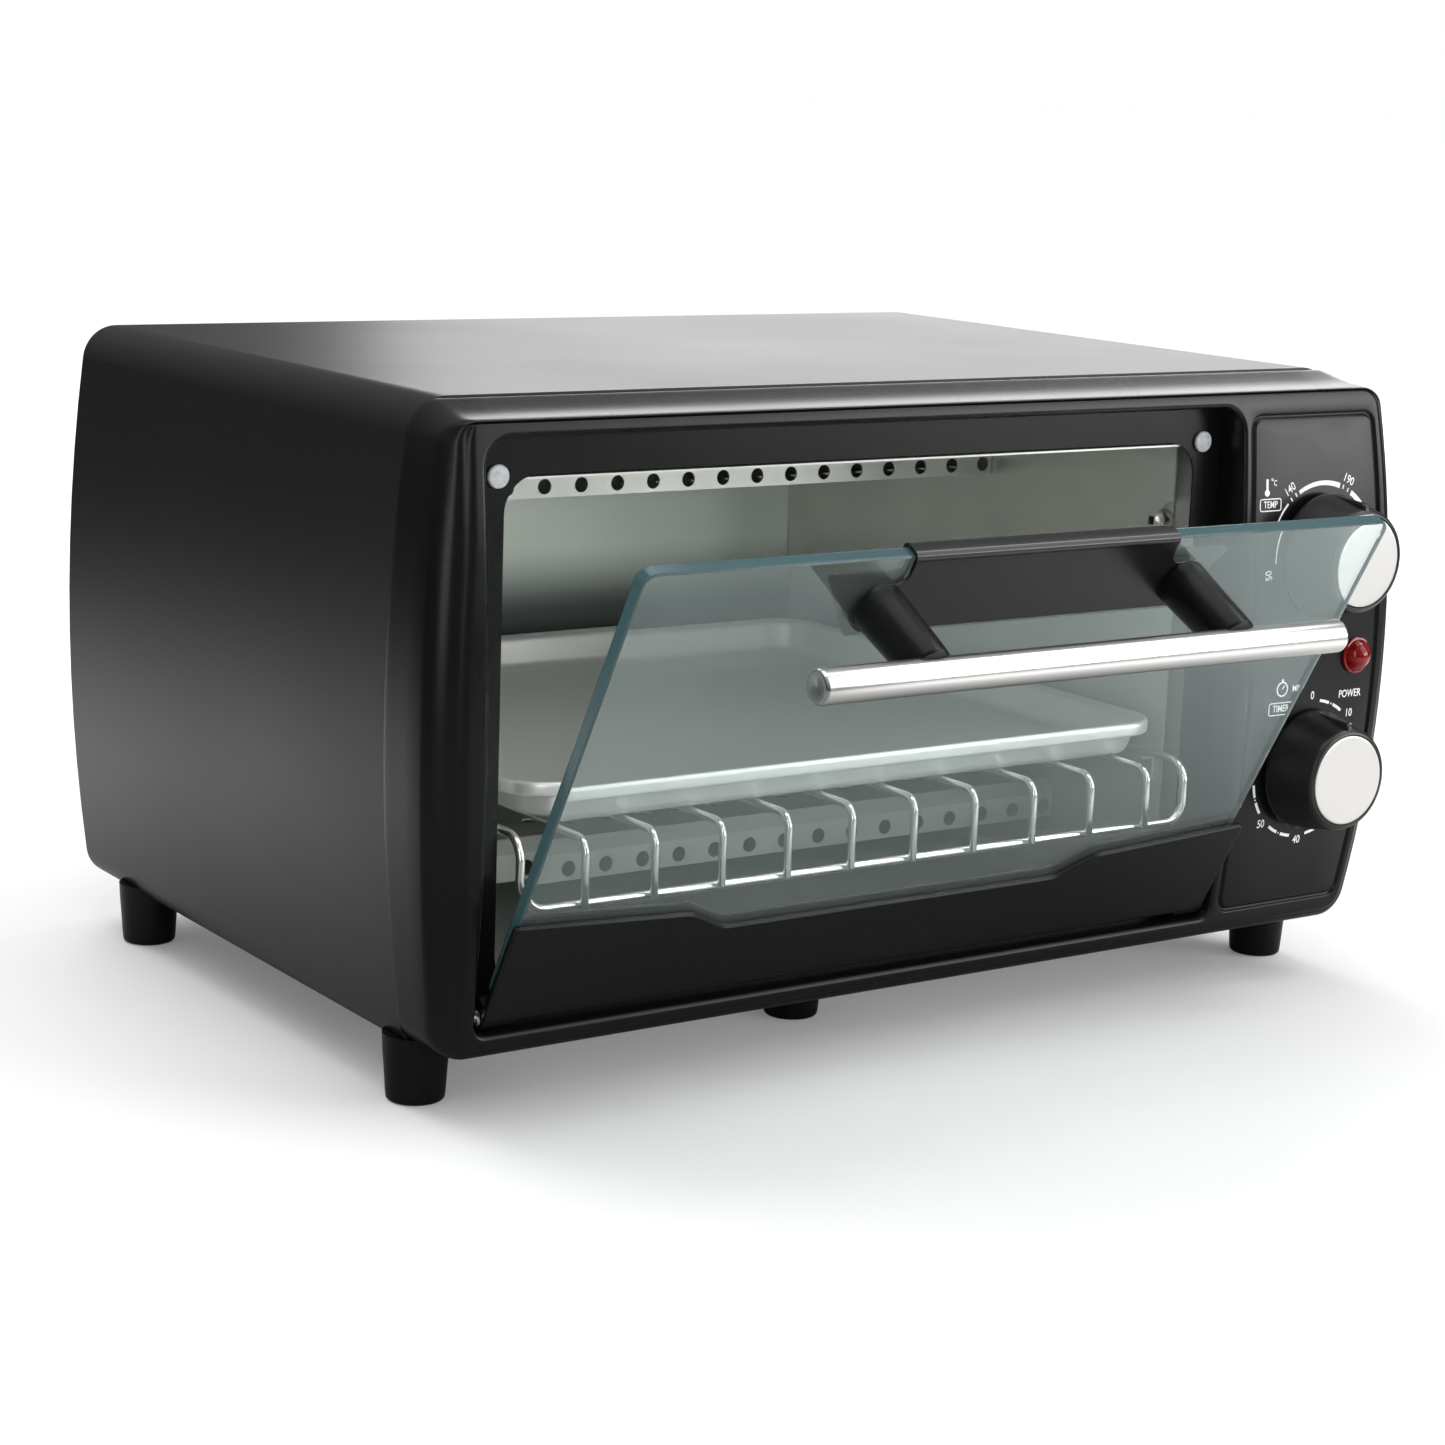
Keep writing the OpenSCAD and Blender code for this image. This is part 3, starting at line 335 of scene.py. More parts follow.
bar_metal = brushed("satin_bar", (0.74, 0.74, 0.72), 0.21, (8.0, 3000.0, 3000.0))
cap_metal = brushed("satin_cap", (0.60, 0.59, 0.57), 0.36, (400.0, 400.0, 4000.0))
chrome = brushed("chrome_wire", (0.97, 0.95, 0.90), 0.19, (300.0, 300.0, 300.0), metallic=0.95)
plated = brushed("plated_steel", (0.62, 0.61, 0.58), 0.25, (500.0, 500.0, 500.0))
element_metal = brushed("element_steel", (0.22, 0.21, 0.20), 0.45, (900.0, 900.0, 900.0))
tray_metal = brushed("tray_aluminium", (0.84, 0.84, 0.81), 0.36, (25.0, 400.0, 25.0), 0.000004, 0.6)


def glass_shader(name, tint, roughness=0.0, ior=1.5, clear=1.0):
    s = Shader(name, tint, roughness)
    s.set("Transmission Weight", clear)
    s.set("IOR", ior)
    return s


pane_shader = glass_shader("door_glass", (0.90, 0.98, 0.97), ior=1.85, clear=0.975)
pane_shader.set("Specular Tint", (0.78, 1.0, 0.98, 1.0))
# Lamps shine through the pane, so that the rack and tray behind it are lit.
open_pane = pane_shader.nodes.new("ShaderNodeBsdfTransparent")
open_pane.inputs["Color"].default_value = (0.90, 0.94, 0.935, 1.0)
pane_shader.show_instead("Is Shadow Ray", open_pane)
glass = pane_shader.material
edge_glass = glass_shader("glass_edge", (0.06, 0.13, 0.145), 0.15, 1.5, 0.45).material
lens_shader = glass_shader("red_lens", (0.24, 0.003, 0.003), 0.12, clear=0.30)
lens_shader.set("Coat Weight", 0.25)
lens_shader.set("Specular IOR Level", 0.2)
lens = lens_shader.material
lamp_glass = glass_shader("lamp_glass", (0.95, 0.75, 0.6), 0.1).material

looks = {
    "black_steel": paint, "black_plastic": plastic, "rubber_black": rubber,
    "galvanised_steel": zinc, "element_steel": element_metal, "ceramic_white": ceramic,
    "pale_plastic": pale_plastic, "wire_insulation": insulation, "plated_steel": plated,
    "silicone_grey": silicone, "lens_red": lens, "lamp_glass": lamp_glass,
    "door_glass": glass, "satin_aluminium": bar_metal, "chrome_wire": chrome,
    "tray_metal": tray_metal,
}
own = {"cavity_rear_wall": painted_back_zinc, "inner_frame": inner_black, "temp_knob_cap": cap_metal,
       "timer_knob_cap": cap_metal}
slot_of = {row["node"]: row["material_slot"] for row in frame["record"]["subparts"]}
for node, obj in frame["nodes"].items():
    look = own.get(node) or looks[slot_of[node]]
    obj.data.materials.clear()
    obj.data.materials.append(look)

# ----------------------------------------------------------------- pieces


def bare_mesh(name, sheets, material=None):
    mesh = bpy.data.meshes.new(name)
    mesh.from_pydata([tuple(v) for v in sheets.points], [], sheets.faces)
    if material:
        mesh.materials.append(material)
    return mesh


def add_piece(name, body, mesh, stands_for=()):
    """One piece that rides on a body, in place of the nodes that it stands for."""
    obj = linked(name, mesh)
    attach(obj, body)
    if stands_for:
        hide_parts(*stands_for)
    return obj


def smooth_piece(name, body, material, sheets, stands_for, degrees):
    """A piece made of loops and faces, smooth but for edges steeper than an angle."""
    mesh = bare_mesh(name, sheets, material)
    mesh.polygons.foreach_set("use_smooth", [True] * len(mesh.polygons))
    mesh.update()
    return sharp_by_angle(fix_normals(add_piece(name, body, mesh, stands_for)), degrees)


def fix_normals(obj):
    """Turns every face outward, so that glass and bump read the right side."""
    work = bmesh.new()
    work.from_mesh(obj.data)
    bmesh.ops.remove_doubles(work, verts=work.verts, dist=1e-7)
    bmesh.ops.recalc_face_normals(work, faces=work.faces)
    work.to_mesh(obj.data)
    work.free()
    return obj


def sharp_by_angle(obj, degrees):
    """Keeps edges steeper than this crisp while the rest stays smooth."""
    work = bmesh.new()
    work.from_mesh(obj.data)
    for edge in work.edges:
        edge.smooth = len(edge.link_faces) == 2 and edge.calc_face_angle(0.0) < radians(degrees)
    work.to_mesh(obj.data)
    work.free()
    return obj


def arc(cx, cz, r, start, end, steps):
    """Points and outward directions along an arc, angles in degrees."""
    out = []
    for i in range(steps + 1):
        a = radians(start + (end - start) * i / steps)
        out.append((cx + r * cos(a), cz + r * sin(a), cos(a), sin(a)))
    return out


def straight(a, b, steps):
    """Points between the ends of a straight run, with its outward direction."""
    dx = b[0] - a[0]
    dz = b[1] - a[1]
    length = hypot(dx, dz)
    nx = dz / length
    nz = -dx / length
    return [(a[0] + dx * i / steps, a[1] + dz * i / steps, nx, nz) for i in range(1, steps)]


def bowed_loop(half_w, bow, low, top, r_top, r_low, side_steps=20, corner_steps=8, flat_steps=24):
    """Outline with bowed sides and round corners: x, z and outward direction, counter-clockwise."""
    mid = (low + top) / 2
    h = (top - low) / 2
    big = (h * h + bow * bow) / (2 * bow)
    cx = half_w - big
    top_a = asin((top - r_top - mid) / (big - r_top))
    low_a = asin((mid - low - r_low) / (big - r_low))
    top_x = cx + (big - r_top) * cos(top_a)
    low_x = cx + (big - r_low) * cos(low_a)
    top_d = top_a * 180 / pi
    low_d = low_a * 180 / pi
    right = arc(low_x, low + r_low, r_low, -90, -low_d, corner_steps)
    right += arc(cx, mid, big, -low_d, top_d, side_steps)[1:]
    right += arc(top_x, top - r_top, r_top, top_d, 90, corner_steps)[1:]
    left = [(-x, z, -nx, nz) for x, z, nx, nz in reversed(right)]
    loop = right + straight(right[-1], left[0], flat_steps) + left
    return loop + straight(left[-1], right[0], flat_steps)


def round_rect_loop(x0, z0, x1, z1, r, r_low=None, corner_steps=8, step=12.0):
    """Rounded rectangle: x, z and outward direction, counter-clockwise."""
    low = r_low or r
    corners = [arc(x1 - low, z0 + low, low, -90, 0, corner_steps),
               arc(x1 - r, z1 - r, r, 0, 90, corner_steps),
               arc(x0 + r, z1 - r, r, 90, 180, corner_steps),
               arc(x0 + low, z0 + low, low, 180, 270, corner_steps)]
    loop = []
    for i, corner in enumerate(corners):
        following = corners[(i + 1) % 4]
        length = hypot(following[0][0] - corner[-1][0], following[0][1] - corner[-1][1])
        loop += corner + straight(corner[-1], following[0], max(int(length / step), 2))
    return loop


def bridge(first, second, count):
    """Quads between two loops of the same count, whose vertices start at first and second."""
    return [(first + i, first + (i + 1) % count, second + (i + 1) % count, second + i)
            for i in range(count)]


class Sheets:
    """Collects loops of points and the faces between them."""

    def __init__(self):
        self.points = []
        self.faces = []

    def loop(self, points):
        start = len(self.points)
        self.points += points
        return start

    def run(self, loops):
        """Bridges loops one after another and returns where each starts."""
        starts = [self.loop(points) for points in loops]
        for a, b in zip(starts, starts[1:]):
            self.faces += bridge(a, b, len(loops[0]))
        return starts

    def cap(self, start, count):
        """Closes a loop with one face."""
        self.faces.append(tuple(range(start, start + count)))


# Front face of the oven: bulged forward at mid height.
FACE_MID = (FRAME_LOW + FRAME_TOP) / 2
FACE_HALF = (FRAME_TOP - FRAME_LOW) / 2
FACE_R = (FACE_HALF ** 2 + FACE_BULGE ** 2) / (2 * FACE_BULGE)


def face_y(z):
    return FACE_R - FACE_BULGE - sqrt(FACE_R ** 2 - (z - FACE_MID) ** 2)


# The moulded front frame. Its rim has a soft step: width in from the outline and depth
# behind the face, at the left. The step is shallower to the right and below, and along
# the top it has depths of its own and falls away towards the outline.
RIM = [(0, 7.6), (0.3, 6.0), (1.0, 4.8), (2.0, 3.9), (3.2, 3.1), (4.4, 2.45), (5.4, 1.95), (6.2, 1.72),
       (7.0, 1.6), (7.8, 1.35), (8.8, 0.85), (9.8, 0.35), (10.8, 0.08), (11.6, 0.0), (12.4, 0.0)]
RIM_TOP = [5.4, 3.5, 1.95, 0.9, 0.2, -0.12, 0.05, 0.5, 0.72, 0.62, 0.3, 0.08, 0.0, 0.0, 0.0]
RIM_WIDTH = 12.4
TOP_DROP = 2.6
OPENING_X = DOOR_X - 0.4
OPENING = (OPENING_X - 140.5, 26.7, OPENING_X + 140.5, 196.6)


def rim_loop(outer, inner, width, depth, top_depth):
    """One line of the rim, between the outline and the edge of the flat face."""
    out = []
    for p, q in zip(outer, inner):
        share = width / RIM_WIDTH
        x = p[0] + (q[0] - p[0]) * share
        z = p[1] + (q[1] - p[1]) * share
        left_share = min(max(-p[2], 0.0) * 1.2, 1.0)
        top_share = max(p[3], 0.0) * (1 - left_share)
        here = depth * (0.4 + 0.6 * left_share) * (1 - top_share) + top_depth * top_share
        drop = TOP_DROP * max(p[3], 0.0) * (1 - share)
        out.append(place(x, face_y(z) + here, z - drop))
    return out


def flat_of(point):
    """Back from metres to the X and Z of the design frame."""
    return Vector((point.x * 1000, point.z * 1000))


def fill_face(sheets, outer, holes, spacing=9.0):
    """Triangles on the bulged face inside one loop and outside others, each given as (start, count)."""
    loops = [outer] + holes
    flat = []
    index = []
    edges = []
    for start, count in loops:
        base = len(flat)
        flat += [flat_of(sheets.points[start + i]) for i in range(count)]
        index += [start + i for i in range(count)]
        edges += [(base + i, base + (i + 1) % count) for i in range(count)]
    rings = [[flat_of(sheets.points[s + i]) for i in range(c)] for s, c in loops]

    def inside(p, ring):
        hit = False
        for a, b in zip(ring, ring[1:] + ring[:1]):
            if (a.y > p.y) != (b.y > p.y) and p.x < (b.x - a.x) * (p.y - a.y) / (b.y - a.y) + a.x:
                hit = not hit
        return hit

    def wanted(p):
        return inside(p, rings[0]) and not any(inside(p, ring) for ring in rings[1:])

    def clear(p):
        return all((p - q).length > spacing * 0.6 for ring in rings for q in ring)

    low = Vector((min(p.x for p in rings[0]), min(p.y for p in rings[0])))
    high = Vector((max(p.x for p in rings[0]), max(p.y for p in rings[0])))
    z = low.y + spacing / 2
    while z < high.y:
        x = low.x + spacing / 2
        while x < high.x:
            p = Vector((x, z))
            if wanted(p) and clear(p):
                flat.append(p)
                index.append(sheets.loop([place(x, face_y(z), z)]))
            x += spacing
        z += spacing
    points, _, triangles, origins, _, _ = delaunay_2d_cdt(flat, edges, [], 0, 1e-6)
    for triangle in triangles:
        middle = sum((points[i] for i in triangle), Vector((0, 0))) / 3
        if wanted(middle):
            sheets.faces.append(tuple(index[origins[i][0]] for i in triangle))


def groove_loops(loop, profile):
    return [[place(x + nx * e, face_y(z + nz * e) + depth, z + nz * e) for x, z, nx, nz in loop]
            for e, depth in profile]


def build_front_frame():
    s = Sheets()
    outline = bowed_loop(FRAME_HALF_W, SIDE_BOW, FRAME_LOW, FRAME_TOP, 10, 10)
    count = len(outline)
    # The top of the frame rises towards the seam, where it is level with the casing.
    hidden = [[place(x - nx * d, y, z - nz * d + max(nz, 0.0) * lift) for x, z, nx, nz in outline]
              for d, y, lift in [(2.5, 12, 0), (2.5, 23.0, 0.6), (2.3, 23.5, 0.8),
                                 (1.7, 23.7, 1.0), (1.0, 23.6, 1.2),
                                 (0.5, 23.2, 1.2), (0.18, 22.5, 1.0), (0.04, 21.6, 0.7), (0, 20.4, 0.35),
                                 (0, 17.5, -0.4), (0, 14, -1.25), (0, 10.5, -2.0)]]
    inner = bowed_loop(FRAME_HALF_W - 4.2, SIDE_BOW, FRAME_LOW + 4.2, FRAME_TOP - 4.2, 6, 6)
    # The rim is wider at the left, up to a narrow margin beside the opening.
    widening = 8.2
    margin = 3.2
    edge = OPENING[0] - margin
    inner = [(max(x, min(x + widening, edge)) if nx < 0 and x < edge else x, z, nx, nz)
             for x, z, nx, nz in inner]
    rim = [rim_loop(outline, inner, w, d, top) for (w, d), top in zip(RIM, RIM_TOP)]
    starts = s.run(hidden + rim)
    outer = (starts[-1], count)
    # Opening: straight walls, a rounded lip, then the face.
    opening = round_rect_loop(*OPENING, 8, 4)
    walls = [[place(x, y, z) for x, z, nx, nz in opening] for y in (8.9, 6.0)]
    lip = groove_loops(opening, [(0, 1.7), (0.13, 1.05), (0.5, 0.5), (1.05, 0.13), (1.6, 0.0), (2.0, 0.0)])
    starts = s.run(walls + lip)
    mouth = (starts[-1], len(opening))
    # Groove round the control panel, following the bowed right side.
    panel = panel_loop()
    groove = [(1.3, 0), (1.1, 0.04), (0.8, 0.3), (0.55, 0.75), (0.2, 1.0), (-0.2, 1.0), (-0.55, 0.75),
              (-0.8, 0.3), (-1.1, 0.04), (-1.3, 0)]
    starts = s.run(groove_loops(panel, groove))
    fill_face(s, outer, [mouth, (starts[0], len(panel))])
    holes = []
    for hx, hz, r in [(KNOB_X, TEMP_Z, 5.0), (KNOB_X, TIMER_Z, 5.0), (LENS_X, LENS_Z, 5.2)]:
        ring = arc(hx, hz, r, 0, 360, 24)[:-1]
        rings = s.run([[place(x, face_y(z) + d, z) for x, z, nx, nz in ring] for d in (2.5, 0)])
        holes.append((rings[-1], len(ring)))
    fill_face(s, (starts[-1], len(panel)), holes)
    smooth_piece("front_frame_moulding", "root", plastic, s, ["front_frame"], 50)


def panel_loop():
    """Outline of the control panel: straight but for the right side, which bows like the frame."""
    r = 4.0
    low = 28.5
    top = 193.5
    left = 118.5

    right = 177.6
    side = []
    steps = 22
    for i in range(steps + 1):
        z = low + r + (top - low - 2 * r) * i / steps
        t = (z - FACE_MID) / FACE_HALF
        slope = 2 * SIDE_BOW * t / FACE_HALF
        length = hypot(1, slope)
        side.append((right - SIDE_BOW * t * t, z, 1 / length, slope / length))
    centres = ((side[0][0] - r, low + r), (side[-1][0] - r, top - r), (left + r, top - r),
               (left + r, low + r))
    low_right, top_right, top_left, low_left = [arc(x, z, r, 90 * i - 90, 90 * i, 6)
                                                for i, (x, z) in enumerate(centres)]
    loop = low_right[:-1] + side + top_right[1:]
    loop += straight(top_right[-1], top_left[0], 6) + top_left
    loop += straight(top_left[-1], low_left[0], 18) + low_left
    return loop + straight(low_left[-1], low_right[0], 6)


build_front_frame()

# General builders: turned parts, slabs with rounded edges and bent wires.


def round_edge(r, steps):
    """Inset and depth along a rounded edge, from the flat face to the side wall."""
    turns = [pi / 2 * i / steps for i in range(steps, -1, -1)]
    return [(r * (1 - cos(a)), r * (1 - sin(a))) for a in turns]


def turned(name, body, material, profile, point_at, stands_for=(), steps=72, degrees=32.0):
    """Spins a profile of radius and height; point_at(a, b, h) places a point off the axis."""
    s = Sheets()
    ring = [(cos(2 * pi * i / steps), sin(2 * pi * i / steps)) for i in range(steps)]
    starts = [s.loop([point_at(r * a, r * b, h) for a, b in (ring if r else [(0, 0)])]) for r, h in profile]
    for k, (first, second) in enumerate(zip(starts, starts[1:])):
        if profile[k][0] == 0:
            s.faces += [(first, second + i, second + (i + 1) % steps) for i in range(steps)]
        elif profile[k + 1][0] == 0:
            s.faces += [(first + i, second, first + (i + 1) % steps) for i in range(steps)]
        else:
            s.faces += bridge(first, second, steps)
    return smooth_piece(name, body, material, s, stands_for, degrees)


def joined(name, body, material, parts, stands_for):
    """Gathers several built meshes into one piece."""
    mesh = bpy.data.meshes.new(name)
    work = bmesh.new()
    for part in parts:
        work.from_mesh(part.data)
    work.to_mesh(mesh)
    work.free()
    for part in parts:
        bpy.data.objects.remove(part)
    mesh.materials.append(material)
    return add_piece(name, body, mesh, stands_for)


def bend(before, corner, after, r, steps):
    """Rounds one corner of a path: the centre of the arc and the spokes from it to the arc."""
    into = before - corner
    out = after - corner
    half = into.angle(out) / 2
    reach = min(r / tan(half), into.length * 0.49, out.length * 0.49)
    centre = corner + (into.normalized() + out.normalized()).normalized() * reach / cos(half)
    first = corner + into.normalized() * reach - centre
    last = corner + out.normalized() * reach - centre
    angle = first.angle(last)
    shares = [k / steps for k in range(steps + 1)]
    return centre, [(first * sin((1 - t) * angle) + last * sin(t * angle)) / sin(angle) for t in shares]


def bend_path(points, r, steps=8, closed=False):
    """Points along straight runs joined by bends of one radius."""
    points = [Vector(p) for p in points]
    out = []
    for i, p in enumerate(points):
        if not closed and i in (0, len(points) - 1):
            out.append(p)
            continue
        centre, spokes = bend(points[i - 1], p, points[(i + 1) % len(points)], r, steps)
        out += [centre + q for q in spokes]
    return out


def round_corners(corners, steps=5):
    """Outline through corners of x, z and radius: x, z and outward direction, counter-clockwise."""
    points = [Vector((x, z)) for x, z, r in corners]
    loop = []
    for i, p in enumerate(points):
        after = points[(i + 1) % len(points)]
        outward = 1 if (p - points[i - 1]).cross(after - p) > 0 else -1
        centre, spokes = bend(points[i - 1], p, after, corners[i][2], steps)
        for q in spokes:
            normal = q.normalized() * outward
            loop.append((centre.x + q.x, centre.y + q.y, normal.x, normal.y))
    return loop


def slab(name, body, material, outline, front, back, r, point_at, stands_for=(), steps=4, degrees=40.0):
    """Plate with rounded edges between two depths; point_at(x, depth, z) places a point."""
    s = Sheets()
    levels = [(r + 0.3, 0.0)] + round_edge(r, steps)
    front_side = [(inset, front + depth) for inset, depth in levels]
    back_side = [(inset, back - depth) for inset, depth in reversed(levels)]
    loops = [[point_at(x - nx * inset, depth, z - nz * inset) for x, z, nx, nz in outline]
             for inset, depth in front_side + back_side]
    starts = s.run(loops)
    count = len(outline)
    s.cap(starts[0], count)
    s.cap(starts[-1], count)
    return smooth_piece(name, body, material, s, stands_for, degrees)


def wire(points, r, sides=14, closed=False):
    """A round wire along points: vertices and faces, with domed ends unless closed."""
    points = [Vector(p) for p in points]
    count = len(points)
    rings = []
    turn_dir = None
    around = [2 * pi * k / sides for k in range(sides)]
    for i, p in enumerate(points):
        ahead = points[(i + 1) % count] if closed or i + 1 < count else p
        behind = points[i - 1] if closed or i > 0 else p
        along = (ahead - behind).normalized()
        if turn_dir is None:
            turn_dir = along.orthogonal().normalized()
        turn_dir = (turn_dir - along * turn_dir.dot(along)).normalized()
        other = along.cross(turn_dir)
        scales = [(0.0, 1.0)]
        if not closed and i == 0:
            scales = [(-0.55, 0.35), (-0.45, 0.75), (0.0, 1.0)]
        if not closed and i == count - 1:
            scales = [(0.0, 1.0), (0.45, 0.75), (0.55, 0.35)]
        for shift, size in scales:
            centre = p + along * shift * r
            rings.append([centre + (turn_dir * cos(a) + other * sin(a)) * r * size for a in around])
    vertices = [v for ring in rings for v in ring]
    faces = []
    for i in range(len(rings) - 1):
        faces += bridge(i * sides, (i + 1) * sides, sides)
    if closed:
        faces += bridge((len(rings) - 1) * sides, 0, sides)
    else:
        faces.append(tuple(range(sides)))
        faces.append(tuple(range((len(rings) - 1) * sides, len(rings) * sides)))
    return vertices, faces


def wires_piece(name, body, material, runs, stands_for):
    s = Sheets()
    for run_points, r, closed in runs:
        points, quads = wire(run_points, r / 1000, closed=closed)
        base = s.loop(points)
        s.faces += [tuple(base + i for i in face) for face in quads]
    return smooth_piece(name, body, material, s, stands_for, 50)


# --------------------------------------------------------------- the door

GLASS_FRONT = -1.5
GLASS_BACK = 3.0
GLASS_TOP = 159.0


def build_glass():
    outline = round_rect_loop(-135, 6, 135, GLASS_TOP, 4, corner_steps=5, step=60)
    pane = slab("door_glass_pane", "door", glass, outline, GLASS_FRONT, GLASS_BACK, 0.6, on_door,
                stands_for=["door_glass"], steps=2, degrees=20)
    # The ground edge of the pane is darker and frosted.
    pane.data.materials.append(edge_glass)
    through = (on_door(0, 1, 0) - on_door(0, 0, 0)).normalized()
    for face in pane.data.polygons:
        if abs(face.normal.dot(through)) < 0.85:
            face.material_index = 1


def mirrored_corners(right):
    """A round-cornered outline that is the same on both sides."""
    return round_corners(right + [(-x, z, r) for x, z, r in reversed(right)])


def strip_outline(w, low, lift):
    """The strips' outline: high at both ends and stepped down in the middle."""
    return mirrored_corners([(w, low, 2.5), (w, 37.4 + lift, 1.2), (77, 33.2 + lift, 9),
                             (63, 25.8 + lift, 9)])


def build_strips():
    front = slab("trim_front", "door", plastic, strip_outline(137.7, 0, 0), GLASS_FRONT - 2.4,
                 GLASS_FRONT - 0.1, 0.8, on_door)
    lower = round_corners([(-125, -3.8, 0.4), (125, -3.8, 0.4), (125, 1.5, 1.2), (-125, 1.5, 1.2)], 3)
    base = slab("trim_base", "door", plastic, lower, 0.3, 5.5, 0.6, lambda a, b, c: on_door(a, c, b))
    knuckles = []
    for end in (-1, 1):
        profile = [(2.1, 126), (3.4, 126), (3.8, 126.4), (3.8, 137.3), (3.4, 137.7), (2.1, 137.7)]
        knuckles.append(turned("knuckle", "door", plastic, profile,
                               lambda a, b, h: on_door(end * h, a, b), steps=40))
        web = round_corners([(-2.4, 0, 0.3), (2.8, 0, 0.3), (2.8, 5.8, 0.3), (-2.4, 5.8, 0.3)], 2)
        knuckles.append(slab("web", "door", plastic, web, 126.2, 137.5, 0.4,
                             lambda a, b, c: on_door(end * b, a, c)))
    joined("door_trim_moulding", "door", plastic, [front, base] + knuckles, ["door_trim"])
    slab("door_inner_plate", "door", inner_black, strip_outline(134, 7, 1.2), GLASS_BACK + 0.1,
         GLASS_BACK + 1.1, 0.25, on_door, stands_for=["door_inner_strip"], steps=2)


def folded_sheet(path, r, thickness):
    """Section of a sheet bent along a path of depth and height."""
    outer = bend_path(path, r, steps=6)
    inner = []
    for i, p in enumerate(outer):
        along = (outer[min(i + 1, len(outer) - 1)] - outer[max(i - 1, 0)]).normalized()
        inner.append(p + Vector((along.y, -along.x)) * thickness)
    return outer + inner[::-1]


def build_bracket():
    front = GLASS_FRONT - 1.3
    back = GLASS_BACK + 1.3
    top = GLASS_TOP + 1.3
    section = folded_sheet([(front, 150), (front, top), (back, top), (back, 148)], 1.9, 1.0)
    s = Sheets()
    middle = sum(section, Vector((0, 0))) / len(section)
    loops = [[on_door(x, d + (middle.x - d) * 0.002, h) for d, h in section]
             for x in (-48, -47.85, 47.85, 48)]
    starts = s.run(loops)
    count = len(section)
    half = count // 2
    for start in (starts[0], starts[-1]):
        s.faces += [(start + i, start + i + 1, start + count - 2 - i, start + count - 1 - i)
                    for i in range(half - 1)]
    fold = smooth_piece("fold", "door", gloss_paint, s, (), 35)
    # Front plate: narrow at the top and wider behind both posts.
    shown = mirrored_corners([(61, 134.5, 6), (63.5, 143, 6.5), (59, 150.6, 5), (48, 150.2, 5),
                              (48, 158.4, 0.2)])
    plate = slab("front_plate", "door", gloss_paint, shown, front, front + 1.0, 0.2, on_door, steps=2)
    hidden = mirrored_corners([(60, 131, 1.5), (74, 153, 1.5)])
    rear = slab("rear_plate", "door", gloss_paint, hidden, back - 1.0, back, 0.2, on_door, steps=2)
    joined("handle_fold", "door", gloss_paint, [fold, plate, rear], ["handle_bracket"])


POST_X = 55.5
RISE = 143.5
REACH = 33.0


def build_handle():
    for end, label in ((-1, "left"), (1, "right")):
        base = -GLASS_FRONT + 1.3
        profile = [(0, base), (7.2, base), (7.6, base + 0.2), (7.8, base + 0.7), (7.8, base + 1.4),
                   (7.25, 22), (7.0, 29.2), (6.8, 30.2), (6.2, 30.8), (0, 30.8)]
        turned("handle_stem_" + label, "door", rubber, profile,
               lambda a, b, h: on_door(end * POST_X + a, -h, RISE + b), ["handle_post_" + label])
    ends = [(0, 94.15), (0.5, 94.2), (2.2, 94.32), (4.1, 94.5), (4.35, 94.48), (4.75, 94.25), (4.95, 93.85),
            (5.0, 93.4)]
    profile = [(r, -h) for r, h in ends] + [(5.0, -60), (5.0, -20), (5.0, 20), (5.0, 60)] + ends[::-1]
    turned("handle_grip", "door", bar_metal, profile, lambda a, b, h: on_door(h, -REACH + a, RISE + b),
           ["handle_bar"], steps=96)


# --------------------------------------------------------------- controls

KNOB_BACK = -FACE_BULGE - 0.4


def build_knob(label, body, z):
    profile = [(17.0, 0), (19.6, 0), (20.2, 0.35), (20.4, 1.1), (20.1, 2.2), (18.5, 10.0), (17.2, 16.2),
               (17.0, 17.2), (16.6, 17.9), (16.0, 18.3), (15.45, 18.4), (15.2, 18.2), (15.1, 17.6),
               (0, 17.6)]

    def point_at(a, b, h):
        return place(KNOB_X + a, KNOB_BACK - h, z + b)

    skirt = turned("skirt", body, knob_black, [(0, 1.5)] + profile, point_at, steps=120, degrees=45)
    # The pointer: a ridge along the top that stands out most at the front.
    s = Sheets()
    rows = [(2.0, 19.4, 20.2), (6.0, 18.4, 19.7), (11.0, 17.2, 19.3), (16.2, 16.0, 19.0),
            (17.3, 15.8, 18.6), (17.9, 15.7, 17.6)]
    loops = []
    for h, low, high in rows:
        right = [(0.5, high - 0.05), (0.9, high - 0.25), (1.2, high - 0.7), (1.5, low)]
        section = [(-x, r) for x, r in reversed(right)] + right
        loops.append([point_at(x, r, h) for x, r in section])
    starts = s.run(loops)
    s.cap(starts[0], len(section))
    s.cap(starts[-1], len(section))
    ridge = smooth_piece("pointer", body, knob_black, s, (), 45)
    joined(label + "_knob_shell", body, knob_black, [skirt, ridge], [label + "_knob"])
    cap = [(0, 17.2), (14.6, 17.2), (14.9, 17.4), (14.95, 18.2), (14.8, 18.42), (14.5, 18.5), (14.1, 18.5),
           (7, 18.5), (0, 18.5)]
    turned(label + "_knob_disc", body, cap_metal, cap, point_at, [label + "_knob_cap"], 120)


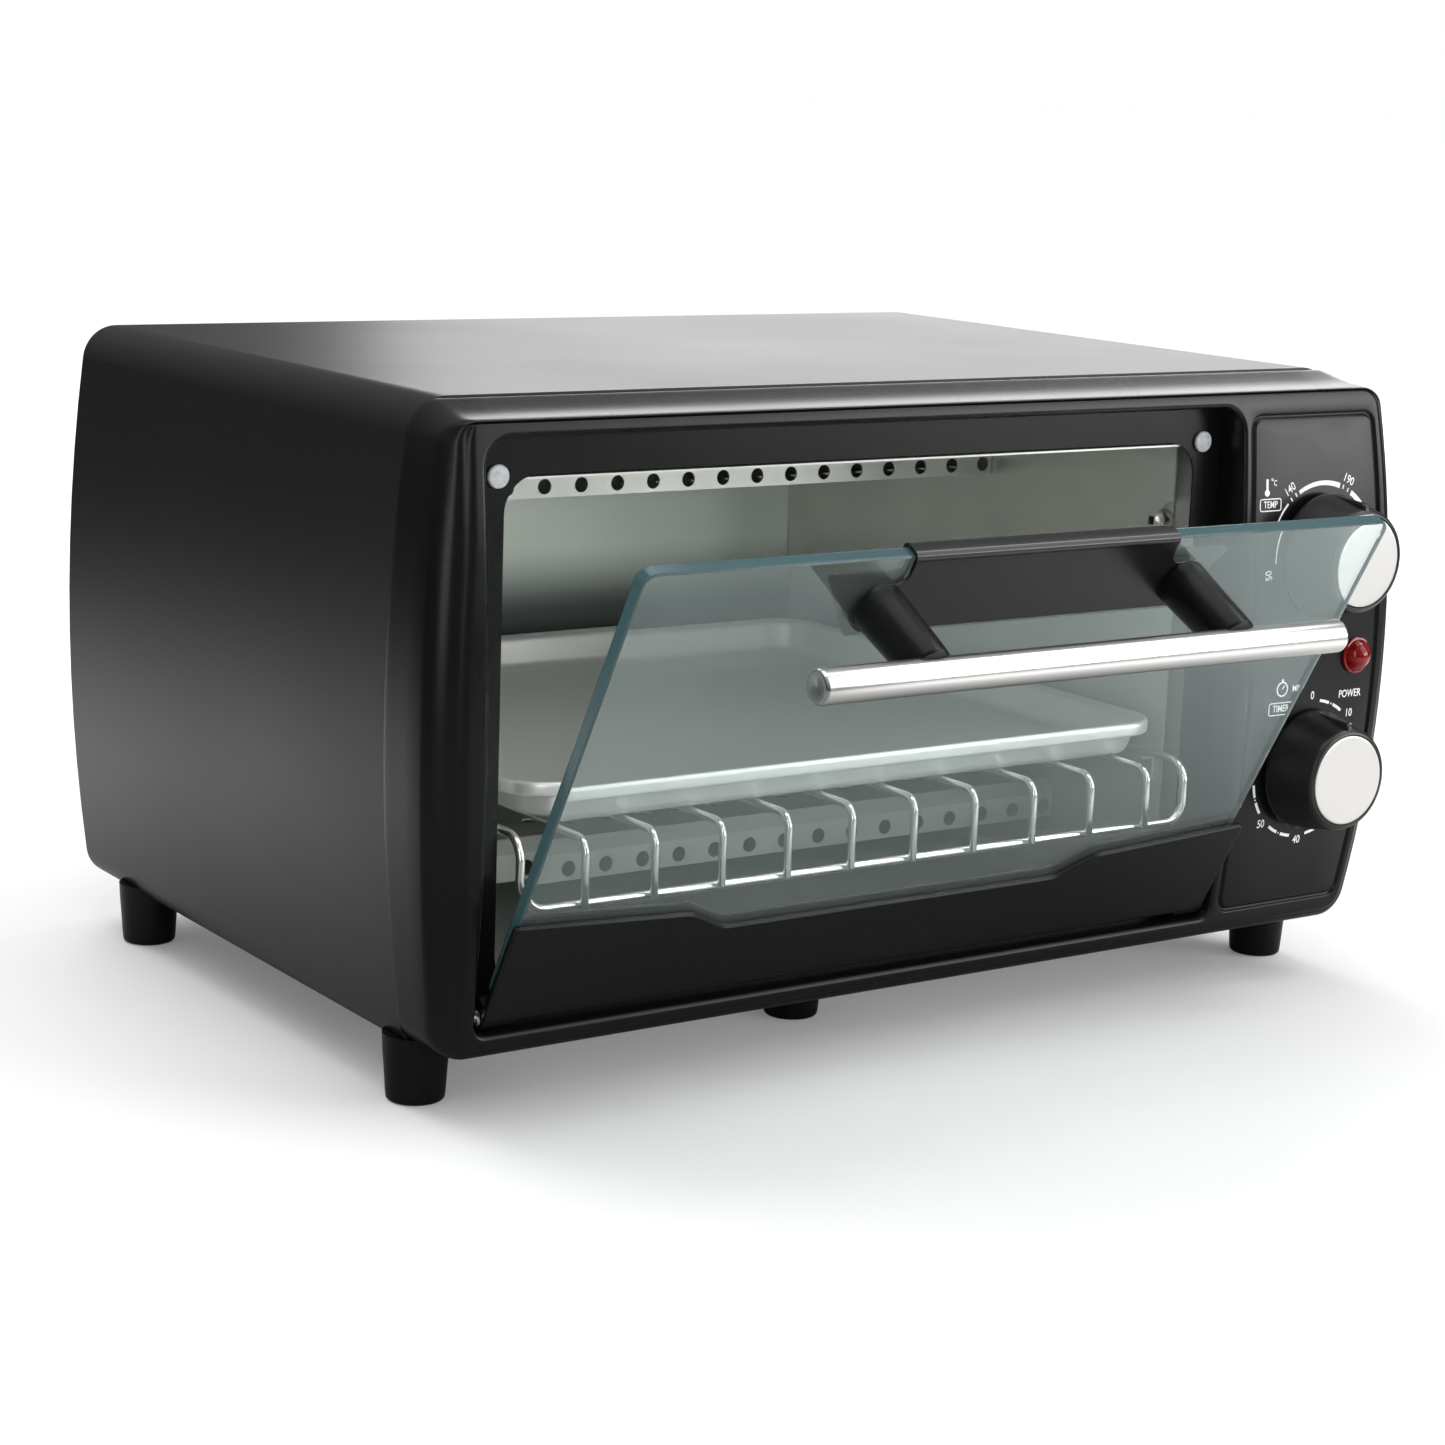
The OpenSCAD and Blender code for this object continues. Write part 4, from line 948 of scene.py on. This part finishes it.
def build_lens():
    rim = 5.3
    rise = 4.0
    dome_r = (rim ** 2 + rise ** 2) / (2 * rise)
    dome = [(dome_r * sin(a), 1.0 + dome_r * cos(a) - (dome_r - rise))
            for a in [asin(rim / dome_r) * k / 8 for k in range(8, -1, -1)]]
    profile = [(0, -6), (4.9, -6), (4.9, 0), (6.1, 0), (6.2, 0.2), (6.2, 0.7), (6.0, 1.0), (5.5, 1.1)]
    profile += dome[:-1] + [(0, 5.0)]
    turned("indicator_jewel", "root", lens, profile,
           lambda a, b, h: place(LENS_X + a, -FACE_BULGE - 0.05 - h, LENS_Z + b),
           ["indicator_lens"], steps=64)


PRINT_H = 0.05


class Print(Sheets):
    """White print that lies on the bulged face."""

    def lay(self, flat, faces):
        """Adds thin solid shapes from flat x and z points and face lists."""
        base = len(self.points)
        count = len(flat)
        for depth in (-PRINT_H, 0.1):
            self.points += [place(x, face_y(z) + depth, z) for x, z in flat]
        edges = {}
        for face in faces:
            self.faces.append(tuple(base + i for i in face))
            self.faces.append(tuple(base + count + i for i in reversed(face)))
            for a, b in zip(face, face[1:] + face[:1]):
                edges[(a, b)] = edges.get((a, b), 0) + 1
        for a, b in edges:
            if (b, a) not in edges:
                self.faces.append((base + b, base + a, base + count + a, base + count + b))

    def band(self, cx, cz, r, start, end, w0, w1):
        """A stretch of ring with a width that may grow, angles in degrees."""
        steps = max(int(abs(end - start) / 4), 1)
        flat = []
        for i in range(steps + 1):
            a = radians(start + (end - start) * i / steps)
            w = (w0 + (w1 - w0) * i / steps) / 2
            flat += [(cx + reach * cos(a), cz + reach * sin(a)) for reach in (r - w, r + w)]
        self.lay(flat, [(2 * i, 2 * i + 1, 2 * i + 3, 2 * i + 2) for i in range(steps)])

    def stroke(self, x0, z0, x1, z1, w):
        """A straight line."""
        along = Vector((x1 - x0, z1 - z0)).normalized() * w / 2
        nx = -along.y
        nz = along.x
        self.lay([(x0 + nx, z0 + nz), (x0 - nx, z0 - nz), (x1 - nx, z1 - nz), (x1 + nx, z1 + nz)],
                 [(0, 1, 2, 3)])

    def words(self, text, x, z, size, tilt=0.0, width=0.86):
        """Lettering centred on a point."""
        curve = bpy.data.curves.new("lettering", "FONT")
        curve.body = text
        curve.size = size
        curve.align_x = "CENTER"
        curve.align_y = "CENTER"
        curve.offset = 0.008 * size
        curve.resolution_u = 3
        holder = linked("lettering", curve)
        graph = bpy.context.evaluated_depsgraph_get()
        flat_mesh = bpy.data.meshes.new_from_object(holder.evaluated_get(graph))
        c = cos(radians(tilt))
        s = sin(radians(tilt))
        flat = [(x + v.co.x * width * c - v.co.y * s, z + v.co.x * width * s + v.co.y * c)
                for v in flat_mesh.vertices]
        self.lay(flat, [tuple(face.vertices) for face in flat_mesh.polygons])
        bpy.data.objects.remove(holder)
        bpy.data.curves.remove(curve)
        bpy.data.meshes.remove(flat_mesh)

    def box(self, x, z, w, h):
        """A rounded frame round a word."""
        line = 0.35
        loop = round_rect_loop(x - w / 2, z - h / 2, x + w / 2, z + h / 2, 0.9, corner_steps=4, step=30)
        flat = [(a, b) for a, b, _, _ in loop] + [(a - nx * line, b - nz * line) for a, b, nx, nz in loop]
        count = len(loop)
        self.lay(flat, bridge(0, count, count))


def round_knob(z, r, degrees):
    """The x and z of a place round the knob at a height."""
    return KNOB_X + r * cos(radians(degrees)), z + r * sin(radians(degrees))


def build_print():
    p = Print()
    p.band(KNOB_X, TEMP_Z, 23.2, 181, 133, 0.35, 0.75)
    p.band(KNOB_X, TEMP_Z, 23.2, 118, 71, 1.3, 1.7)
    p.band(KNOB_X, TEMP_Z, 23.2, 57, 8, 1.7, 2.0)
    for label, angle in (("50", 189), ("140", 125), ("190", 64), ("230", 0)):
        p.words(label, *round_knob(TEMP_Z, 26.4, angle), 4.0, angle - 90)
    for angle in (128, 122, 67, 61, 4):
        p.stroke(*round_knob(TEMP_Z, 22.6, angle), *round_knob(TEMP_Z, 24.0, angle), 0.5)
    for i in range(7):
        angle = 90 - 45 * i if i < 6 else 180
        p.words(str(10 * i), *round_knob(TIMER_Z, 25.0, angle), 3.9)
        if i < 6:
            for near, far in ((-9, -20), (-25, -36)):
                p.band(KNOB_X, TIMER_Z, 23.4, angle + near, angle + far, 1.0, 1.0)
            p.band(KNOB_X, TIMER_Z, 23.4, angle - 22, angle - 23.2, 0.6, 0.6)
    p.box(126.2, 165.0, 9.6, 4.2)
    p.words("TEMP", 126.2, 165.0, 3.2, 0, 0.8)
    p.band(124.6, 168.9, 0.55, 0, 360, 1.1, 1.1)
    p.stroke(124.6, 169.2, 124.6, 173.4, 0.9)
    p.words("C", 128.2, 172.0, 2.5)
    p.band(126.9, 173.2, 0.35, 0, 360, 0.2, 0.2)
    p.band(133.0, 105.6, 2.3, 0, 360, 0.5, 0.5)
    p.stroke(133.0, 105.6, 134.0, 106.8, 0.4)
    p.stroke(133.0, 107.9, 133.0, 109.0, 0.9)
    p.words("MIN", 139.9, 105.4, 3.0, 0, 0.85)
    p.box(133.0, 99.0, 11.0, 4.4)
    p.words("TIMER", 133.0, 99.0, 3.3, 0, 0.8)
    p.words("POWER", 167.4, 99.4, 3.7, 0, 0.80)
    add_piece("panel_print", "root", bare_mesh("panel_print", p, print_white))


# ---------------------------------------------------------- rack and tray


RACK_Z = 82.5
RACK_LOW = 63.0
RACK_HALF = 125.2


def build_rack():
    runs = []
    for i in range(10):
        x = DOOR_X + (i - 4.5) * 23.7
        path = bend_path([(x, 207.6, RACK_Z), (x, 0, RACK_Z), (x, 0, RACK_LOW + 0.3)], 4.5)
        runs.append(([place(*p) for p in path], 1.25, False))
    y = 2.6
    corners = [(DOOR_X - RACK_HALF, y, RACK_LOW), (DOOR_X + RACK_HALF, y, RACK_LOW),
               (DOOR_X + RACK_HALF, y, RACK_Z), (DOOR_X + RACK_HALF, 208, RACK_Z),
               (DOOR_X - RACK_HALF, 208, RACK_Z), (DOOR_X - RACK_HALF, y, RACK_Z)]
    runs.append(([place(*p) for p in bend_path(corners, 7.0, closed=True)], 1.4, True))
    runs.append(([place(DOOR_X - 112, 104, 80.2), place(DOOR_X + 112, 104, 80.2)], 1.25, False))
    wires_piece("rack_wires", "rack", chrome, runs, ["wire_rack"])


def build_tray():
    base = 83.95
    outline = round_rect_loop(DOOR_X - 121.8, 8.0, DOOR_X + 121.8, 218.0, 16, corner_steps=14, step=30)
    inside = [(0.9, 7.7), (0.5, 7.6), (0.15, 7.9), (0.0, 8.5), (0.0, 10.7), (0.1, 11.3), (0.45, 11.8),
              (1.0, 12.0), (1.7, 11.9), (2.4, 11.6), (3.0, 11.4), (3.6, 11.1), (4.0, 10.5),
              (4.3, 9.6), (6.6, 3.0), (7.2, 1.7), (8.1, 0.9), (9.4, 0.55), (11.0, 0.5), (13.0, 0.5)]
    under = [(13.0, 0.0), (11.0, 0.0), (9.2, 0.05), (7.8, 0.45), (6.8, 1.3), (6.1, 2.8), (3.8, 9.4),
             (3.4, 10.3), (2.9, 10.8), (2.2, 11.0), (1.6, 10.9), (1.2, 10.2), (1.1, 8.2)]
    s = Sheets()
    loops = [[place(x - nx * w, y - ny * w, base + h) for x, y, nx, ny in outline]
             for w, h in inside + under]
    starts = s.run(loops)
    count = len(outline)
    s.faces += bridge(starts[-1], starts[0], count)
    cut = len(inside)
    last = starts[cut] + count
    s.faces = [f for f in s.faces if not (min(f) >= starts[cut - 1] and max(f) < last)]
    s.cap(starts[cut - 1], count)
    s.cap(starts[cut], count)
    smooth_piece("tray_pan", "tray", tray_metal, s, ["baking_tray"], 50)


# ------------------------------------------------------------ small parts


def build_feet():
    spots = {"front_left": (-168, 30.6), "front_right": (168, 30.6), "rear_left": (-168, 218.6),
             "rear_right": (168, 218.6), "centre": (-21.5, 47)}
    for label, (x, y) in spots.items():
        top = 20.5 if label != "centre" else 16.6
        profile = [(0, 0.0), (7.4, 0.0), (8.1, 0.2), (8.6, 0.7), (8.75, 1.4),
                   (8.9, 3.0), (9.35, 10), (9.75, 15.0), (10.0, top), (0, top)]
        pad = turned("foot_pad_" + label, "root", rubber, profile,
                     lambda a, b, h: place(x + a, y + b, h), ["foot_" + label], steps=56)
        inward = 0 if label == "centre" else (4 if x < 0 else -4)
        well = [(0, -1), (3.7, -1), (3.4, 0.3), (3.4, 4.0), (0, 4.0)]
        cutter = turned("well", "root", rubber, well,
                        lambda a, b, h: place(x + inward + a, y + b, h), steps=32)
        cut_away(pad, cutter)


def cut_away(obj, cutter):
    """Takes the cutter's shape out of a piece and removes the cutter."""
    cut = obj.modifiers.new("cut", "BOOLEAN")
    cut.operation = "DIFFERENCE"
    cut.solver = "EXACT"
    cut.object = cutter
    graph = bpy.context.evaluated_depsgraph_get()
    made = bpy.data.meshes.new_from_object(obj.evaluated_get(graph))
    obj.modifiers.clear()
    obj.data = made
    bpy.data.objects.remove(cutter)
    return sharp_by_angle(obj, 30)


def cross_screw(body, r, h, point_at, depth=1.1):
    """Domed screw head with a cross recess; point_at(a, b, h) runs out along its axis."""
    ball = (r * r + h * h) / (2 * h)
    rim_angle = asin(min(r / ball, 1.0))
    dome = [(ball * sin(rim_angle * k / 6), ball * cos(rim_angle * k / 6) - ball + h)
            for k in range(6, 0, -1)]
    head = turned("head", body, plated, [(0, 0), (r * 0.97, 0)] + dome + [(0, h)], point_at, steps=40)
    arm = r * 0.55
    w = r * 0.13
    plan = [(w, w), (w, arm), (-w, arm), (-w, w), (-arm, w), (-arm, -w), (-w, -w), (-w, -arm), (w, -arm),
            (w, -w), (arm, -w), (arm, w)]
    s = Sheets()
    starts = s.run([[point_at(a * k, b * k, q) for a, b in plan]
                    for k, q in ((0.5, h - depth), (1.0, h + 0.5))])
    s.cap(starts[0], len(plan))
    s.cap(starts[1], len(plan))
    return cut_away(head, fix_normals(linked("cutter", bare_mesh("cutter", s))))


def build_screws():
    heads = [cross_screw("root", 4.6, 2.3, lambda a, b, h: place(DOOR_X + end * 129 + a, 21.4 - h, 157 + b))
             for end in (-1, 1)]
    heads.append(cross_screw("root", 3.6, 2.0, lambda a, b, h: place(80 + a, 35 + b, 183.6 - h)))
    joined("cavity_screw_heads", "root", plated, heads, ["cavity_screws"])
    profile = [(0, 9.2), (1.7, 9.2), (1.7, 8.9), (3.0, 8.95), (3.35, 8.7), (3.4, 8.3), (3.35, 7.95),
               (3.0, 7.65), (2.2, 7.6), (0, 7.6)]
    bumps = [turned("buffer", "root", silicone, profile,
                    lambda a, b, h: place(DOOR_X + end * 131.7 + a, h, 185 + b), steps=40)
             for end in (-1, 1)]
    joined("door_buffers", "root", silicone, bumps, ["door_bumpers"])
    strip_back = GLASS_BACK + 1.15
    heads = [cross_screw("door", 3.0, 1.1,
                         lambda a, b, h: on_door(end * 104 + a, strip_back + h, 15 + b), 0.8)
             for end in (-1, 0, 1)]
    joined("strip_screw_heads", "door", plated, heads, ["door_screws"])
    plate_back = GLASS_BACK + 1.3
    heads = [cross_screw("door", 3.3, 0.7,
                         lambda a, b, h: on_door(end * POST_X + a, plate_back + h, RISE + b), 0.6)
             for end in (-1, 1)]
    joined("handle_screw_heads", "door", plated, heads, ["handle_screws"])


build_glass()
build_strips()
build_bracket()
build_handle()
build_knob("temp", "temp_control", TEMP_Z)
build_knob("timer", "timer_control", TIMER_Z)
build_lens()
build_print()
build_rack()
build_tray()
build_feet()
build_screws()


# ------------------------------------------------------------------- floor

FLOOR = 30.0
floor_sheet = Sheets()
floor_sheet.cap(floor_sheet.loop([Vector((x * FLOOR, y * FLOOR, 0)) for x, y in
                                  ((-1, -1), (1, -1), (1, 1), (-1, 1))]), 4)
paper = Shader("pale_floor", (0.96, 0.96, 0.96), 0.6)
paper.set("Emission Color", (1.0, 1.0, 1.0, 1.0))
paper.set("Emission Strength", 0.12)
paper.set("Specular IOR Level", 0.0)
# Painted shadow: the paper's colour is greyer close to the oven.
moved = paper.add("ShaderNodeMapping", Location=(-0.08, 0.15, 0.0))
paper.links.new(paper.coord, moved.inputs["Vector"])
painted_light_greys = [(0.25, 0.96), (0.45, 0.80), (0.75, 0.76)]
paper.drive("Base Color", paper.ramp(paper.ball(moved.outputs["Vector"]), painted_light_greys))
paper.drive("Roughness", paper.span(paper.noise(3.0), 0.55, 0.65))
# Painted reflection: glossy parts mirror a floor whose colour is painted bright a little way out from the
# oven and darker further away, with painted shade to the left of the oven's front.
painted_light_greys = [(0.35, 0.02), (0.5, 0.15), (0.64, 0.55), (0.78, 0.98), (0.86, 0.55), (0.94, 0.25)]
rings = paper.ramp(paper.ball(paper.stretch(0.5, 0.5, 0.5)), painted_light_greys)
across = paper.nodes.new("ShaderNodeVectorMath")
across.operation = "DOT_PRODUCT"
across.inputs[1].default_value = (1.43, 1.0, 0.0)
paper.links.new(paper.coord, across.inputs[0])
both = paper.nodes.new("ShaderNodeVectorMath")
both.operation = "SCALE"
paper.links.new(rings, both.inputs[0])
painted_shade_fade = paper.span(across.outputs["Value"], 0.22, 1.0, -0.50, -0.22, "SMOOTHSTEP")
paper.links.new(painted_shade_fade, both.inputs["Scale"])
painted_reflection_floor = paper.nodes.new("ShaderNodeBsdfDiffuse")
paper.links.new(both.outputs["Vector"], painted_reflection_floor.inputs["Color"])
paper.show_instead("Is Glossy Ray", painted_reflection_floor)
linked("floor", bare_mesh("floor", floor_sheet, paper.material))
